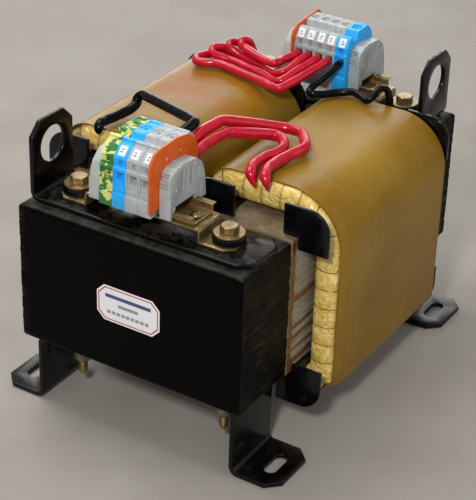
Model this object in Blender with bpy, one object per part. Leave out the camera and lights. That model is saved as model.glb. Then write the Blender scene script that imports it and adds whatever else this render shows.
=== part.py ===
"""Dry-type single-phase transformer on four angle feet.

Frame: X runs along the yokes, Y from the front yoke to the rear yoke, Z up.
The origin is on the ground, below the middle of the object. Units are metres.
"""

import math

import bmesh
import bpy
from mathutils import Vector

# Driving dimensions.
GAP = 0.0003
CORE_WIDTH = 0.210
CORE_LENGTH = 0.355
LIMB_WIDTH = 0.070
STACK = 0.1238
STACK_BOTTOM = 0.0628
SHEET = 0.004
BOLT_X = 0.070
BOLT_Y = 0.143
BOLT_HOLE = 0.010

CLAMP_WIDTH = 0.052
CLAMP_END = 0.1033
EAR_FACE = 0.0994
EAR_HEIGHT = 0.0655
EAR_HOLE = 0.030
EAR_HOLE_HEIGHT = 0.2273
CORNER_CUT = 0.011
BEND_RADIUS = 0.004

FOOT_WIDTH = 0.058
FOOT_Y = 0.1410
LEG_FACE = 0.0957
FOOT_REACH = 0.040
SLOT_SIZE = (0.0105, 0.026)
SLOT_X = 0.1185

COIL_X = 0.070
COIL_FRONT = -0.080
COIL_BACK = 0.1008
COIL_HALF_WIDTH = 0.064
COIL_HALF_HEIGHT = 0.090
WRAP_THICKNESS = 0.0018
WRAP_SETBACK = 0.004
TOP_RADIUS = 0.045
LEFT_TOP_RADIUS = 0.026
BOTTOM_RADIUS = 0.014
FORMER_WALL = 0.003
FLANGE_THICKNESS = 0.003
FLANGE_FRONT = -0.1015
FLANGE_BACK = 0.1055
FLANGE_REACH = 0.0276
FLANGE_LEG = 0.0095
FLANGE_OVERLAP = 0.0125

BRACKET_WIDTH = 0.032
BRACKET_HALF = 0.0535
BRACKET_TAB_END = 0.081
BRACKET_SHEET = 0.002
BRACKET_TOP = 0.2037
RAIL_HALF_LENGTH = 0.047
RAIL_HALF_WIDTH = 0.0175
RAIL_CHANNEL_HALF = 0.0135
RAIL_HEIGHT = 0.0075
RAIL_SHEET = 0.001
RAIL_TOP = BRACKET_TOP + GAP + RAIL_HEIGHT
RAIL_SCREW_X = 0.040
RAIL_SCREW_HOLE = 0.0058

STACK_TOP = STACK_BOTTOM + STACK
STACK_MIDDLE = STACK_BOTTOM + STACK / 2
YOKE_INNER = CORE_LENGTH / 2 - LIMB_WIDTH
CLAMP_BOTTOM = STACK_TOP + GAP
CLAMP_TOP = CLAMP_BOTTOM + SHEET
FOOT_PLATE_TOP = STACK_BOTTOM - GAP
TAB_BOTTOM = CLAMP_TOP + GAP
TAB_TOP = TAB_BOTTOM + BRACKET_SHEET


def clear_scene():
    for obj in list(bpy.data.objects):
        bpy.data.objects.remove(obj, do_unlink=True)


def make_material(name, color, roughness, metallic=0.0):
    material = bpy.data.materials.new(name)
    material.use_nodes = True
    shader = material.node_tree.nodes["Principled BSDF"]
    shader.inputs["Base Color"].default_value = (*color, 1.0)
    shader.inputs["Roughness"].default_value = roughness
    shader.inputs["Metallic"].default_value = metallic
    return material


def link_mesh(name, bm, material, smooth=False):
    bmesh.ops.recalc_face_normals(bm, faces=bm.faces)
    mesh = bpy.data.meshes.new(name)
    bm.to_mesh(mesh)
    bm.free()
    if smooth:
        mesh.shade_smooth()
        mesh.set_sharp_from_angle(angle=math.radians(35))
    obj = bpy.data.objects.new(name, mesh)
    bpy.context.scene.collection.objects.link(obj)
    if material is not None:
        mesh.materials.append(material)
    return obj


def place(axis, u, v, along):
    """A point of an outline (u, v) at a distance along its extrusion axis."""
    if axis == "x":
        return Vector((along, u, v))
    if axis == "y":
        return Vector((u, along, v))
    return Vector((u, v, along))


def add_prism(bm, outline, axis, low, high):
    near = [bm.verts.new(place(axis, u, v, low)) for u, v in outline]
    far = [bm.verts.new(place(axis, u, v, high)) for u, v in outline]
    bm.faces.new(near)
    bm.faces.new(list(reversed(far)))
    count = len(outline)
    for i in range(count):
        j = (i + 1) % count
        bm.faces.new((near[j], near[i], far[i], far[j]))


def make_prism(name, outline, axis, low, high, material, smooth=False):
    bm = bmesh.new()
    add_prism(bm, outline, axis, low, high)
    return link_mesh(name, bm, material, smooth)


def arc(center, radius, start, end, steps):
    """Points of an arc, in degrees, including both ends."""
    points = []
    for i in range(steps + 1):
        angle = math.radians(start + (end - start) * i / steps)
        points.append((center[0] + radius * math.cos(angle), center[1] + radius * math.sin(angle)))
    return points


def circle(center, radius, steps, phase=0.0):
    return arc(center, radius, phase, phase + 360 - 360 / steps, steps - 1)


def rectangle(u0, v0, u1, v1):
    return [(u0, v0), (u1, v0), (u1, v1), (u0, v1)]


def slot_outline(center, size, steps=6):
    """A slot that is long in v, with round ends."""
    radius = size[0] / 2
    half = size[1] / 2 - radius
    top = arc((center[0], center[1] + half), radius, 0, 180, steps)
    bottom = arc((center[0], center[1] - half), radius, 180, 360, steps)
    return top + bottom


def make_cutter(name, prisms):
    """One hidden cutter made of (outline, axis, low, high) prisms that don't touch."""
    bm = bmesh.new()
    for outline, axis, low, high in prisms:
        add_prism(bm, outline, axis, low, high)
    cutter = link_mesh(name, bm, None)
    cutter.hide_render = True
    cutter.display_type = "WIRE"
    return cutter


def add_boolean(obj, other, operation):
    modifier = obj.modifiers.new(operation.title(), "BOOLEAN")
    modifier.operation = operation
    modifier.object = other


def add_bevel(obj, width, segments=2):
    modifier = obj.modifiers.new("Edges", "BEVEL")
    modifier.width = width
    modifier.segments = segments
    modifier.limit_method = "ANGLE"
    modifier.angle_limit = math.radians(50)


def side_name(side):
    return "front" if side < 0 else "rear"


def hand_name(hand):
    return "left" if hand < 0 else "right"


def turn_for(side):
    """Front parts stand as modelled, and rear ones are the same part turned round."""
    return 0.0 if side < 0 else math.pi


def hole_pair(radius, y, low, high, x=BOLT_X, steps=16):
    prisms = []
    for hand in (-1, 1):
        prisms.append((circle((hand * x, y), radius, steps), "z", low, high))
    return prisms


# Core: a stack of U sheets (two limbs and the rear yoke) closed by a stack of I sheets.


def make_core(paint, steel):
    half_width = CORE_WIDTH / 2
    half_length = CORE_LENGTH / 2
    limb_inner = half_width - LIMB_WIDTH
    limb_end = -YOKE_INNER + GAP
    u_outline = [
        (-half_width, half_length),
        (-half_width, limb_end),
        (-limb_inner, limb_end),
        (-limb_inner, YOKE_INNER),
        (limb_inner, YOKE_INNER),
        (limb_inner, limb_end),
        (half_width, limb_end),
        (half_width, half_length),
    ]
    i_outline = rectangle(-half_width, -half_length, half_width, -YOKE_INNER)
    u_stack = make_prism("core_u_stack", u_outline, "z", STACK_BOTTOM, STACK_TOP, steel)
    i_stack = make_prism("core_i_stack", i_outline, "z", STACK_BOTTOM, STACK_TOP, paint)
    for stack, y in ((u_stack, BOLT_Y), (i_stack, -BOLT_Y)):
        add_bevel(stack, 0.0012)
        holes = hole_pair(BOLT_HOLE / 2, y, STACK_BOTTOM - 0.01, STACK_TOP + 0.01)
        add_boolean(stack, make_cutter(stack.name + "_holes", holes), "DIFFERENCE")


# Clamping: bent sheet above and below each yoke.


def clamp_section():
    """Side view (x, z) of the top clamp: flat on the yoke, turned up at its left end."""
    inner = BEND_RADIUS
    outer = BEND_RADIUS + SHEET
    center = (-EAR_FACE + outer, CLAMP_BOTTOM + outer)
    top = STACK_TOP + EAR_HEIGHT
    under = arc(center, outer, 270, 180, 6)
    over = arc(center, inner, 180, 270, 6)
    ear = [(-EAR_FACE, top), (-EAR_FACE + SHEET, top)]
    return [(CLAMP_END, CLAMP_TOP), (CLAMP_END, CLAMP_BOTTOM)] + under + ear + over


def triangle_at(corner, u_sign, v_sign, size):
    """A triangle that takes a corner off, running a little past both edges."""
    past = size * 0.5
    u, v = corner
    return [
        (u + u_sign * past, v + v_sign * past),
        (u - u_sign * (size + past), v + v_sign * past),
        (u + u_sign * past, v - v_sign * (size + past)),
    ]


def make_clamp(side, paint):
    name = side_name(side) + "_top_clamp"
    low = -BOLT_Y + 0.0005 - CLAMP_WIDTH / 2
    high = low + CLAMP_WIDTH
    clamp = make_prism(name, clamp_section(), "y", low, high, paint, smooth=True)
    top = STACK_TOP + EAR_HEIGHT
    prisms = hole_pair(BOLT_HOLE / 2, -BOLT_Y, CLAMP_BOTTOM - 0.003, CLAMP_TOP + 0.003)
    for edge, sign in ((low, -1), (high, 1)):
        flat_corner = triangle_at((CLAMP_END, edge), 1, sign, CORNER_CUT)
        prisms.append((flat_corner, "z", CLAMP_BOTTOM - 0.002, CLAMP_TOP + 0.002))
        ear_corner = triangle_at((edge, top), sign, 1, CORNER_CUT)
        prisms.append((ear_corner, "x", -EAR_FACE - 0.002, -EAR_FACE + SHEET + 0.002))
    ear_hole = circle((-BOLT_Y + 0.0005, EAR_HOLE_HEIGHT), EAR_HOLE / 2, 28)
    prisms.append((ear_hole, "x", -EAR_FACE - 0.003, -EAR_FACE + SHEET + 0.003))
    add_boolean(clamp, make_cutter(name + "_cuts", prisms), "DIFFERENCE")
    turn(side, name, name + "_cuts")


def turn(side, *names):
    for name in names:
        bpy.data.objects[name].rotation_euler.z = turn_for(side)


def foot_section():
    """Side view (x, z) of the foot plate: a bridge under the yoke with a foot at each end."""
    inner = BEND_RADIUS
    outer = BEND_RADIUS + SHEET
    upper = (LEG_FACE - outer, FOOT_PLATE_TOP - outer)
    lower = (LEG_FACE + inner, SHEET + inner)
    tip = LEG_FACE + FOOT_REACH
    outside = arc(upper, outer, 90, 0, 6) + arc(lower, inner, 180, 270, 6)
    toe = [(tip, SHEET), (tip, 0.0)]
    inside = arc(lower, outer, 270, 180, 6) + arc(upper, inner, 0, 90, 6)
    right = outside + toe + inside
    left = [(-u, v) for u, v in reversed(right)]
    return right + left


def make_foot_plate(side, paint):
    name = side_name(side) + "_foot_plate"
    low = -FOOT_Y - FOOT_WIDTH / 2
    high = low + FOOT_WIDTH
    plate = make_prism(name, foot_section(), "y", low, high, paint, smooth=True)
    prisms = hole_pair(BOLT_HOLE / 2, -BOLT_Y, FOOT_PLATE_TOP - SHEET - 0.003, FOOT_PLATE_TOP + 0.003)
    tip = LEG_FACE + FOOT_REACH
    for hand in (-1, 1):
        for edge, sign in ((low, -1), (high, 1)):
            corner = triangle_at((hand * tip, edge), hand, sign, CORNER_CUT)
            prisms.append((corner, "z", -0.002, SHEET + 0.002))
        slot = slot_outline((hand * SLOT_X, -FOOT_Y), SLOT_SIZE)
        prisms.append((slot, "z", -0.003, SHEET + 0.003))
    add_boolean(plate, make_cutter(name + "_cuts", prisms), "DIFFERENCE")
    turn(side, name, name + "_cuts")


# Clamp bolts, washers and nuts.

WASHER_BOTTOM = TAB_TOP + GAP
INSULATOR_HEIGHT = 0.0055
WASHER_HEIGHT = 0.0018
PLAIN_BOTTOM = WASHER_BOTTOM + INSULATOR_HEIGHT + GAP
HEAD_BOTTOM = PLAIN_BOTTOM + WASHER_HEIGHT + GAP
HEAD_HEIGHT = 0.0053
BOLT_END = 0.0205
BOLT_RADIUS = 0.004
HEX_ACROSS_FLATS = 0.013
LOWER_STACK_TOP = FOOT_PLATE_TOP - SHEET - GAP


def hexagon(center):
    return circle(center, HEX_ACROSS_FLATS / math.sqrt(3), 6, phase=15)


def lathe(name, profile, center, material, steps=20):
    """A turned piece. The profile is (radius, z), down its outer side; radius 0 closes it."""
    bm = bmesh.new()
    rings = []
    for radius, z in profile:
        if radius == 0:
            rings.append([bm.verts.new((center[0], center[1], z))])
            continue
        ring = [bm.verts.new((u, v, z)) for u, v in circle(center, radius, steps)]
        rings.append(ring)
    closed = profile[0][0] > 0
    pairs = len(rings) if closed else len(rings) - 1
    for k in range(pairs):
        first = rings[k]
        second = rings[(k + 1) % len(rings)]
        for i in range(steps):
            j = (i + 1) % steps
            corners = [first[i % len(first)], first[j % len(first)]]
            corners += [second[j % len(second)], second[i % len(second)]]
            bm.faces.new(list(dict.fromkeys(corners)))
    return link_mesh(name, bm, material, smooth=True)


def make_washer(name, center, inner, outer, bottom, height, material, steps=24):
    top = bottom + height
    profile = [(inner, top), (outer, top), (outer, bottom), (inner, bottom)]
    return lathe(name, profile, center, material, steps)


def make_bolt(name, center, zinc):
    shank = [
        (0, HEAD_BOTTOM + 0.002),
        (BOLT_RADIUS, HEAD_BOTTOM + 0.002),
        (BOLT_RADIUS, BOLT_END + 0.0015),
        (BOLT_RADIUS - 0.0015, BOLT_END),
        (0, BOLT_END),
    ]
    bolt = lathe(name, shank, center, zinc, steps=16)
    head_top = HEAD_BOTTOM + HEAD_HEIGHT
    head = make_prism(name + "_head", hexagon(center), "z", HEAD_BOTTOM, head_top, None)
    head.hide_render = True
    head.display_type = "WIRE"
    add_boolean(bolt, head, "UNION")


def make_nut_pack(name, center, zinc):
    """Insulating collar, washer, nut and locknut below the foot plate, as one tight pack."""
    levels = [
        (circle(center, 0.0130, 24), 0.0, 0.0055),
        (circle(center, 0.0120, 24), 0.0053, 0.0073),
        (hexagon(center), 0.0071, 0.0150),
        (circle(center, 0.0058, 16), 0.0148, 0.0156),
        (hexagon(center), 0.0154, 0.0234),
    ]
    first = levels[0]
    pack = make_prism(name, first[0], "z", LOWER_STACK_TOP - first[2], LOWER_STACK_TOP, zinc)
    for index, (outline, start, end) in enumerate(levels[1:]):
        part = make_prism(
            name + "_level_" + str(index), outline, "z", LOWER_STACK_TOP - end, LOWER_STACK_TOP - start, None
        )
        part.hide_render = True
        part.display_type = "WIRE"
        add_boolean(pack, part, "UNION")
    bore = circle(center, BOLT_RADIUS + GAP, 16)
    hole = make_cutter(name + "_bore", [(bore, "z", LOWER_STACK_TOP - 0.03, LOWER_STACK_TOP + 0.01)])
    add_boolean(pack, hole, "DIFFERENCE")


def make_fasteners(zinc, black):
    for side in (-1, 1):
        for hand in (-1, 1):
            place_name = side_name(side) + "_" + hand_name(hand)
            center = (hand * BOLT_X, side * BOLT_Y)
            make_bolt("clamp_bolt_" + place_name, center, zinc)
            insulator = "insulating_washer_" + place_name
            bore = BOLT_RADIUS + GAP
            make_washer(insulator, center, bore, 0.0133, WASHER_BOTTOM, INSULATOR_HEIGHT, black)
            washer = "plain_washer_" + place_name
            make_washer(washer, center, bore, 0.0125, PLAIN_BOTTOM, WASHER_HEIGHT, zinc)
            make_nut_pack("clamp_nuts_" + place_name, center, zinc)


# Coils: a former on each limb, the winding on it, and the outer wrap.


def coil_outline(center_x, inset):
    """Section (x, z) of the coil: a wide curve at its top right, a tighter one at its top left, small ones below."""
    half_width = COIL_HALF_WIDTH - inset
    half_height = COIL_HALF_HEIGHT - inset
    top = TOP_RADIUS - inset
    left_top = LEFT_TOP_RADIUS - inset
    bottom = BOTTOM_RADIUS - inset
    high = STACK_MIDDLE + half_height
    low = STACK_MIDDLE - half_height
    left = center_x - half_width
    right = center_x + half_width
    points = arc((right - top, high - top), top, 0, 90, 9)
    points += arc((left + left_top, high - left_top), left_top, 90, 180, 7)
    points += arc((left + bottom, low + bottom), bottom, 180, 270, 4)
    points += arc((right - bottom, low + bottom), bottom, 270, 360, 4)
    return points


def limb_rectangle(center_x, margin):
    half = LIMB_WIDTH / 2 + margin
    return rectangle(
        center_x - half, STACK_BOTTOM - margin, center_x + half, STACK_TOP + margin
    )


def corner_flange(center_x, sign_x, sign_z):
    """L-shaped plate round one corner of the limb, with a round outer corner."""
    inner_x = LIMB_WIDTH / 2 + GAP + 0.0005
    inner_z = STACK / 2 + GAP + 0.0005
    outer_x = LIMB_WIDTH / 2 + FLANGE_REACH
    outer_z = STACK / 2 + FLANGE_REACH
    radius = 0.014
    round_corner = arc((outer_x - radius, outer_z - radius), radius, 0, 90, 5)
    corner = [
        (inner_x, inner_z),
        (inner_x, STACK / 2 - FLANGE_LEG),
        (outer_x, STACK / 2 - FLANGE_LEG),
    ]
    corner += round_corner
    corner += [
        (LIMB_WIDTH / 2 - FLANGE_OVERLAP, outer_z),
        (LIMB_WIDTH / 2 - FLANGE_OVERLAP, inner_z),
    ]
    placed = [(center_x + sign_x * u, STACK_MIDDLE + sign_z * v) for u, v in corner]
    return placed if sign_x * sign_z > 0 else list(reversed(placed))


def make_former(hand, black):
    """Board tube on the limb. Only its corners run on in front of the winding, to the flanges."""
    name = hand_name(hand) + "_coil_former"
    center_x = hand * COIL_X
    outer = limb_rectangle(center_x, GAP + FORMER_WALL)
    former = make_prism(name, outer, "y", FLANGE_FRONT, FLANGE_BACK, black)
    for label, start, end in (
        ("front", FLANGE_FRONT, FLANGE_FRONT + FLANGE_THICKNESS),
        ("rear", FLANGE_BACK - FLANGE_THICKNESS, FLANGE_BACK),
    ):
        plates = []
        for sign_x in (-1, 1):
            for sign_z in (-1, 1):
                plates.append((corner_flange(center_x, sign_x, sign_z), "y", start, end))
        add_boolean(former, make_cutter(name + "_" + label + "_flange", plates), "UNION")
    bore = [(limb_rectangle(center_x, GAP), "y", FLANGE_FRONT - 0.01, FLANGE_BACK + 0.01)]
    add_boolean(former, make_cutter(name + "_bore", bore), "DIFFERENCE")
    corner = 0.006
    half_x = LIMB_WIDTH / 2 - corner
    half_z = STACK / 2 - corner
    reach = 0.010
    low = STACK_MIDDLE - STACK / 2 - reach
    high = STACK_MIDDLE + STACK / 2 + reach
    window_end = COIL_FRONT + 0.001
    window_start = FLANGE_FRONT - 0.002
    upright = rectangle(center_x - half_x, low, center_x + half_x, high)
    side = LIMB_WIDTH / 2 + reach
    across = rectangle(center_x - side, STACK_MIDDLE - half_z, center_x + side, STACK_MIDDLE + half_z)
    keep = FLANGE_FRONT + FLANGE_THICKNESS
    for label, outline, start in (("top_and_bottom", upright, keep), ("sides", across, keep)):
        window = make_cutter(name + "_" + label, [(outline, "y", start, window_end)])
        add_boolean(former, window, "DIFFERENCE")
    plate_half_x = LIMB_WIDTH / 2 - FLANGE_OVERLAP
    plate_half_z = STACK / 2 - FLANGE_LEG
    end_upright = rectangle(center_x - plate_half_x, low, center_x + plate_half_x, high)
    end_across = rectangle(center_x - side, STACK_MIDDLE - plate_half_z, center_x + side, STACK_MIDDLE + plate_half_z)
    for label, outline in (("end_top_and_bottom", end_upright), ("end_sides", end_across)):
        window = make_cutter(name + "_" + label, [(outline, "y", window_start, keep + 0.001)])
        add_boolean(former, window, "DIFFERENCE")


def make_coil(hand, tape, wrap_sheet):
    center_x = hand * COIL_X
    name = hand_name(hand) + "_winding"
    inset = WRAP_THICKNESS + GAP
    winding = make_prism(name, coil_outline(center_x, inset), "y", COIL_FRONT, COIL_BACK, tape, smooth=True)
    inside = limb_rectangle(center_x, 2 * GAP + FORMER_WALL)
    bore = make_cutter(name + "_bore", [(inside, "y", COIL_FRONT - 0.01, COIL_BACK + 0.01)])
    add_boolean(winding, bore, "DIFFERENCE")
    name = hand_name(hand) + "_outer_wrap"
    start = COIL_FRONT + WRAP_SETBACK
    end = COIL_BACK - GAP
    wrap = make_prism(name, coil_outline(center_x, 0.0), "y", start, end, wrap_sheet, smooth=True)
    inside = coil_outline(center_x, WRAP_THICKNESS)
    bore = make_cutter(name + "_bore", [(inside, "y", start - 0.01, end + 0.01)])
    add_boolean(wrap, bore, "DIFFERENCE")


# Rail brackets, DIN rails and their screws.


def bracket_section():
    """Side view (x, z) of the hat-shaped rail bracket."""
    sheet = BRACKET_SHEET
    right = [
        (BRACKET_TAB_END, TAB_BOTTOM),
        (BRACKET_TAB_END, TAB_TOP),
        (BRACKET_HALF + 0.0012, TAB_TOP),
        (BRACKET_HALF, TAB_TOP + 0.0012),
        (BRACKET_HALF, BRACKET_TOP - 0.003),
        (BRACKET_HALF - 0.0009, BRACKET_TOP - 0.0009),
        (BRACKET_HALF - 0.003, BRACKET_TOP),
    ]
    inside = [
        (-BRACKET_HALF + 0.003, BRACKET_TOP - sheet),
        (-BRACKET_HALF + sheet, BRACKET_TOP - 0.003),
        (-BRACKET_HALF + sheet, TAB_TOP - 0.001),
        (-BRACKET_HALF + sheet - 0.001, TAB_BOTTOM),
    ]
    left = [(-u, v) for u, v in reversed(right)]
    mirrored = [(-u, v) for u, v in reversed(inside)]
    return right + left + list(reversed(inside)) + list(reversed(mirrored))


def make_bracket(side, zinc):
    name = side_name(side) + "_rail_bracket"
    y = side * BOLT_Y
    low = y - BRACKET_WIDTH / 2
    high = y + BRACKET_WIDTH / 2
    bracket = make_prism(name, bracket_section(), "y", low, high, zinc)
    prisms = hole_pair(BOLT_RADIUS + 0.0008, y, TAB_BOTTOM - 0.002, TAB_TOP + 0.002)
    prisms += hole_pair(RAIL_SCREW_HOLE / 2, y, BRACKET_TOP - 0.005, BRACKET_TOP + 0.002, RAIL_SCREW_X, 12)
    for hand in (-1, 1):
        for edge, sign in ((low, -1), (high, 1)):
            corner = triangle_at((hand * BRACKET_TAB_END, edge), hand, sign, 0.007)
            prisms.append((corner, "z", TAB_BOTTOM - 0.002, TAB_TOP + 0.002))
    add_boolean(bracket, make_cutter(name + "_cuts", prisms), "DIFFERENCE")


def make_rail(side, zinc):
    """Top-hat rail, 35 mm wide and 7.5 mm high, open upwards."""
    name = side_name(side) + "_din_rail"
    y = side * BOLT_Y
    floor = BRACKET_TOP + GAP
    lip = RAIL_TOP - RAIL_SHEET
    wide = RAIL_HALF_WIDTH
    wall = RAIL_CHANNEL_HALF
    upper = [
        (-wide, RAIL_TOP),
        (-wide, lip),
        (-wall, lip),
        (-wall, floor + 0.0008),
        (-wall + 0.0008, floor),
    ]
    inner = wall - RAIL_SHEET
    section = upper + [(-u, v) for u, v in reversed(upper)]
    section += [(inner, RAIL_TOP), (inner, floor + RAIL_SHEET), (-inner, floor + RAIL_SHEET), (-inner, RAIL_TOP)]
    section = [(y + u, v) for u, v in section]
    rail = make_prism(name, section, "x", -RAIL_HALF_LENGTH, RAIL_HALF_LENGTH, zinc)
    holes = hole_pair(RAIL_SCREW_HOLE / 2, y, floor - 0.002, floor + 0.003, RAIL_SCREW_X, 12)
    add_boolean(rail, make_cutter(name + "_holes", holes), "DIFFERENCE")


def make_rail_screws(zinc):
    head_bottom = BRACKET_TOP + GAP + RAIL_SHEET + GAP
    profile = [
        (0, head_bottom + 0.0032),
        (0.0025, head_bottom + 0.0030),
        (0.0041, head_bottom + 0.0022),
        (0.0047, head_bottom + 0.0008),
        (0.0047, head_bottom),
        (0.0025, head_bottom),
        (0.0025, BRACKET_TOP - 0.006),
        (0, BRACKET_TOP - 0.007),
    ]
    for side in (-1, 1):
        for hand in (-1, 1):
            name = "rail_screw_" + side_name(side) + "_" + hand_name(hand)
            center = (hand * RAIL_SCREW_X, side * BOLT_Y)
            lathe(name, profile, center, zinc, steps=12)


# Terminals. Each outline is (distance behind the rail's middle, height above its top).

FOOT_INNER = RAIL_HALF_WIDTH + 0.0006
FOOT_DEPTH = -0.004
SEAT = 0.0003

BLOCK_OUTLINE = [
    (-0.0290, FOOT_DEPTH),
    (-0.0290, 0.0090),
    (-0.0275, 0.0098),
    (-0.0275, 0.0415),
    (-0.0205, 0.0490),
    (-0.0130, 0.0490),
    (-0.0110, 0.0450),
    (-0.0020, 0.0450),
    (0.0000, 0.0490),
    (0.0245, 0.0490),
    (0.0310, 0.0415),
    (0.0310, 0.0098),
    (0.0325, 0.0090),
    (0.0325, FOOT_DEPTH),
    (FOOT_INNER, FOOT_DEPTH),
    (FOOT_INNER, SEAT),
    (-FOOT_INNER, SEAT),
    (-FOOT_INNER, FOOT_DEPTH),
]
REAR_BLOCK_OUTLINE = [
    (-0.0290, -0.0040),
    (-0.0290, 0.0080),
    (-0.0280, 0.0090),
    (-0.0274, 0.0102),
    (-0.0274, 0.0292),
    (-0.0262, 0.0300),
    (-0.0262, 0.0355),
    (-0.0208, 0.0428),
    (-0.0165, 0.0436),
    (-0.0150, 0.0395),
    (-0.0085, 0.0390),
    (-0.0070, 0.0455),
    (0.0105, 0.0465),
    (0.0175, 0.0400),
    (0.0200, 0.0340),
    (0.0205, 0.0098),
    (0.0215, 0.0090),
    (0.0215, -0.0040),
    (FOOT_INNER, -0.0040),
    (FOOT_INNER, SEAT),
    (-FOOT_INNER, SEAT),
    (-FOOT_INNER, -0.0040),
]
END_PLATE_OUTLINE = [
    (-0.0330, 0.0020),
    (-0.0330, 0.0385),
    (-0.0312, 0.0438),
    (-0.0262, 0.0498),
    (-0.0200, 0.0512),
    (0.0050, 0.0520),
    (0.0185, 0.0494),
    (0.0290, 0.0415),
    (0.0312, 0.0350),
    (0.0312, 0.0020),
]
REAR_END_PLATE_OUTLINE = [
    (-0.0298, 0.0020),
    (-0.0298, 0.0370),
    (-0.0272, 0.0420),
    (-0.0215, 0.0452),
    (0.0145, 0.0478),
    (0.0200, 0.0440),
    (0.0225, 0.0370),
    (0.0225, 0.0020),
]
END_STOP_OUTLINE = [
    (-0.0210, -0.0055),
    (-0.0210, 0.0295),
    (-0.0180, 0.0320),
    (-0.0125, 0.0348),
    (-0.0035, 0.0360),
    (0.0140, 0.0342),
    (0.0225, 0.0268),
    (0.0258, 0.0170),
    (0.0278, 0.0005),
    (0.0278, -0.0030),
    (FOOT_INNER, -0.0030),
    (FOOT_INNER, SEAT),
    (-FOOT_INNER, SEAT),
    (-FOOT_INNER, -0.0055),
]
WIRE_ENTRY = 0.0066
WIRE_ENTRY_HEIGHT = 0.0215
RECESS = 0.009


def on_rail(outline, side, flip=1):
    y = side * BOLT_Y
    points = [(y + flip * u, RAIL_TOP + v) for u, v in outline]
    return points if flip > 0 else list(reversed(points))


def make_terminal(name, side, left, width, plastic):
    """A spring-clamp terminal block, with a square wire entry at its front and rear."""
    low = left + GAP / 2
    high = left + width - GAP / 2
    outline = BLOCK_OUTLINE if side < 0 else REAR_BLOCK_OUTLINE
    back = 0.0310 if side < 0 else 0.0205
    block = make_prism(name, on_rail(outline, side), "x", low, high, plastic)
    middle = left + width / 2
    half = WIRE_ENTRY / 2
    z = RAIL_TOP + WIRE_ENTRY_HEIGHT
    y = side * BOLT_Y
    entry = rectangle(middle - half, z - half, middle + half, z + half)
    recesses = [
        (entry, "y", y - 0.0400, y - 0.0275 + RECESS),
        (entry, "y", y + back - RECESS, y + 0.0450),
    ]
    add_boolean(block, make_cutter(name + "_entries", recesses), "DIFFERENCE")


def make_slice(name, outline, side, left, width, plastic, flip=1):
    low = left + GAP / 2
    high = left + width - GAP / 2
    return make_prism(name, on_rail(outline, side, flip), "x", low, high, plastic)


END_STOP_WIDTH = 0.0102
END_PLATE_WIDTH = 0.0025
FRONT_PITCH = 0.0120
REAR_PITCH = 0.0100
FRONT_ROW_LEFT = -0.0300
REAR_ROW_LEFT = -0.0280


def make_front_terminals(grey, blue, earth, orange):
    left = FRONT_ROW_LEFT
    make_slice("front_end_stop_left", END_STOP_OUTLINE, -1, left - END_STOP_WIDTH, END_STOP_WIDTH, grey, -1)
    row = [("front_earth_terminal", earth), ("front_neutral_terminal", blue)]
    row += [("front_grey_terminal_1", grey), ("front_grey_terminal_2", grey)]
    for name, plastic in row:
        make_terminal(name, -1, left, FRONT_PITCH, plastic)
        left += FRONT_PITCH
    make_slice("front_end_plate", END_PLATE_OUTLINE, -1, left, END_PLATE_WIDTH, orange)
    left += END_PLATE_WIDTH
    make_slice("front_end_stop_right", END_STOP_OUTLINE, -1, left, END_STOP_WIDTH, grey)


def make_rear_terminals(grey, blue, orange):
    left = REAR_ROW_LEFT
    plate_left = left - END_PLATE_WIDTH
    make_slice("rear_end_plate", REAR_END_PLATE_OUTLINE, 1, plate_left, END_PLATE_WIDTH, orange)
    stop_left = plate_left - END_STOP_WIDTH
    make_slice("rear_end_stop_left", END_STOP_OUTLINE, 1, stop_left, END_STOP_WIDTH, grey, -1)
    for index in range(4):
        make_terminal("rear_grey_terminal_" + str(index + 1), 1, left, REAR_PITCH, grey)
        left += REAR_PITCH
    make_terminal("rear_neutral_terminal", 1, left, FRONT_PITCH, blue)
    left += FRONT_PITCH
    make_slice("rear_end_stop_right", END_STOP_OUTLINE, 1, left, END_STOP_WIDTH, grey)


# Leads: sleeved winding ends, each clamped at a terminal and fixed in its coil.

SLEEVE_RADIUS = 0.0048
REAR_SLEEVE_RADIUS = 0.0040
BLACK_RADIUS = 0.0044
THIN_BLACK_RADIUS = 0.0034

FRONT_RED_1 = [
    (0.0000, -0.1108, 0.2330),
    (0.0003, -0.1030, 0.2332),
    (0.0011, -0.0873, 0.2364),
    (0.0018, -0.0756, 0.2388),
    (0.0032, -0.0626, 0.2396),
    (0.0047, -0.0531, 0.2396),
    (0.0065, -0.0485, 0.2385),
    (0.0132, -0.0349, 0.2336),
    (0.0206, -0.0204, 0.2282),
    (0.0300, -0.0091, 0.2242),
    (0.0417, -0.0039, 0.2232),
    (0.0499, -0.0050, 0.2228),
    (0.0583, -0.0131, 0.2222),
    (0.0648, -0.0235, 0.2215),
    (0.0641, -0.0300, 0.2210),
    (0.0612, -0.0406, 0.2205),
    (0.0588, -0.0565, 0.2203),
    (0.0590, -0.0695, 0.2206),
    (0.0615, -0.0780, 0.2206),
    (0.0650, -0.0842, 0.2195),
    (0.0672, -0.0858, 0.2157),
    (0.0686, -0.0858, 0.2099),
]
FRONT_RED_2 = [
    (0.0120, -0.1112, 0.2330),
    (0.0122, -0.1045, 0.2332),
    (0.0105, -0.0881, 0.2336),
    (0.0108, -0.0741, 0.2336),
    (0.0113, -0.0588, 0.2326),
    (0.0127, -0.0536, 0.2318),
    (0.0193, -0.0444, 0.2296),
    (0.0270, -0.0323, 0.2264),
    (0.0346, -0.0230, 0.2236),
    (0.0403, -0.0221, 0.2228),
    (0.0480, -0.0285, 0.2220),
    (0.0515, -0.0372, 0.2212),
    (0.0503, -0.0451, 0.2206),
    (0.0474, -0.0528, 0.2203),
    (0.0462, -0.0680, 0.2206),
    (0.0480, -0.0770, 0.2206),
    (0.0515, -0.0838, 0.2195),
    (0.0545, -0.0858, 0.2155),
    (0.0577, -0.0858, 0.2097),
]
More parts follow.
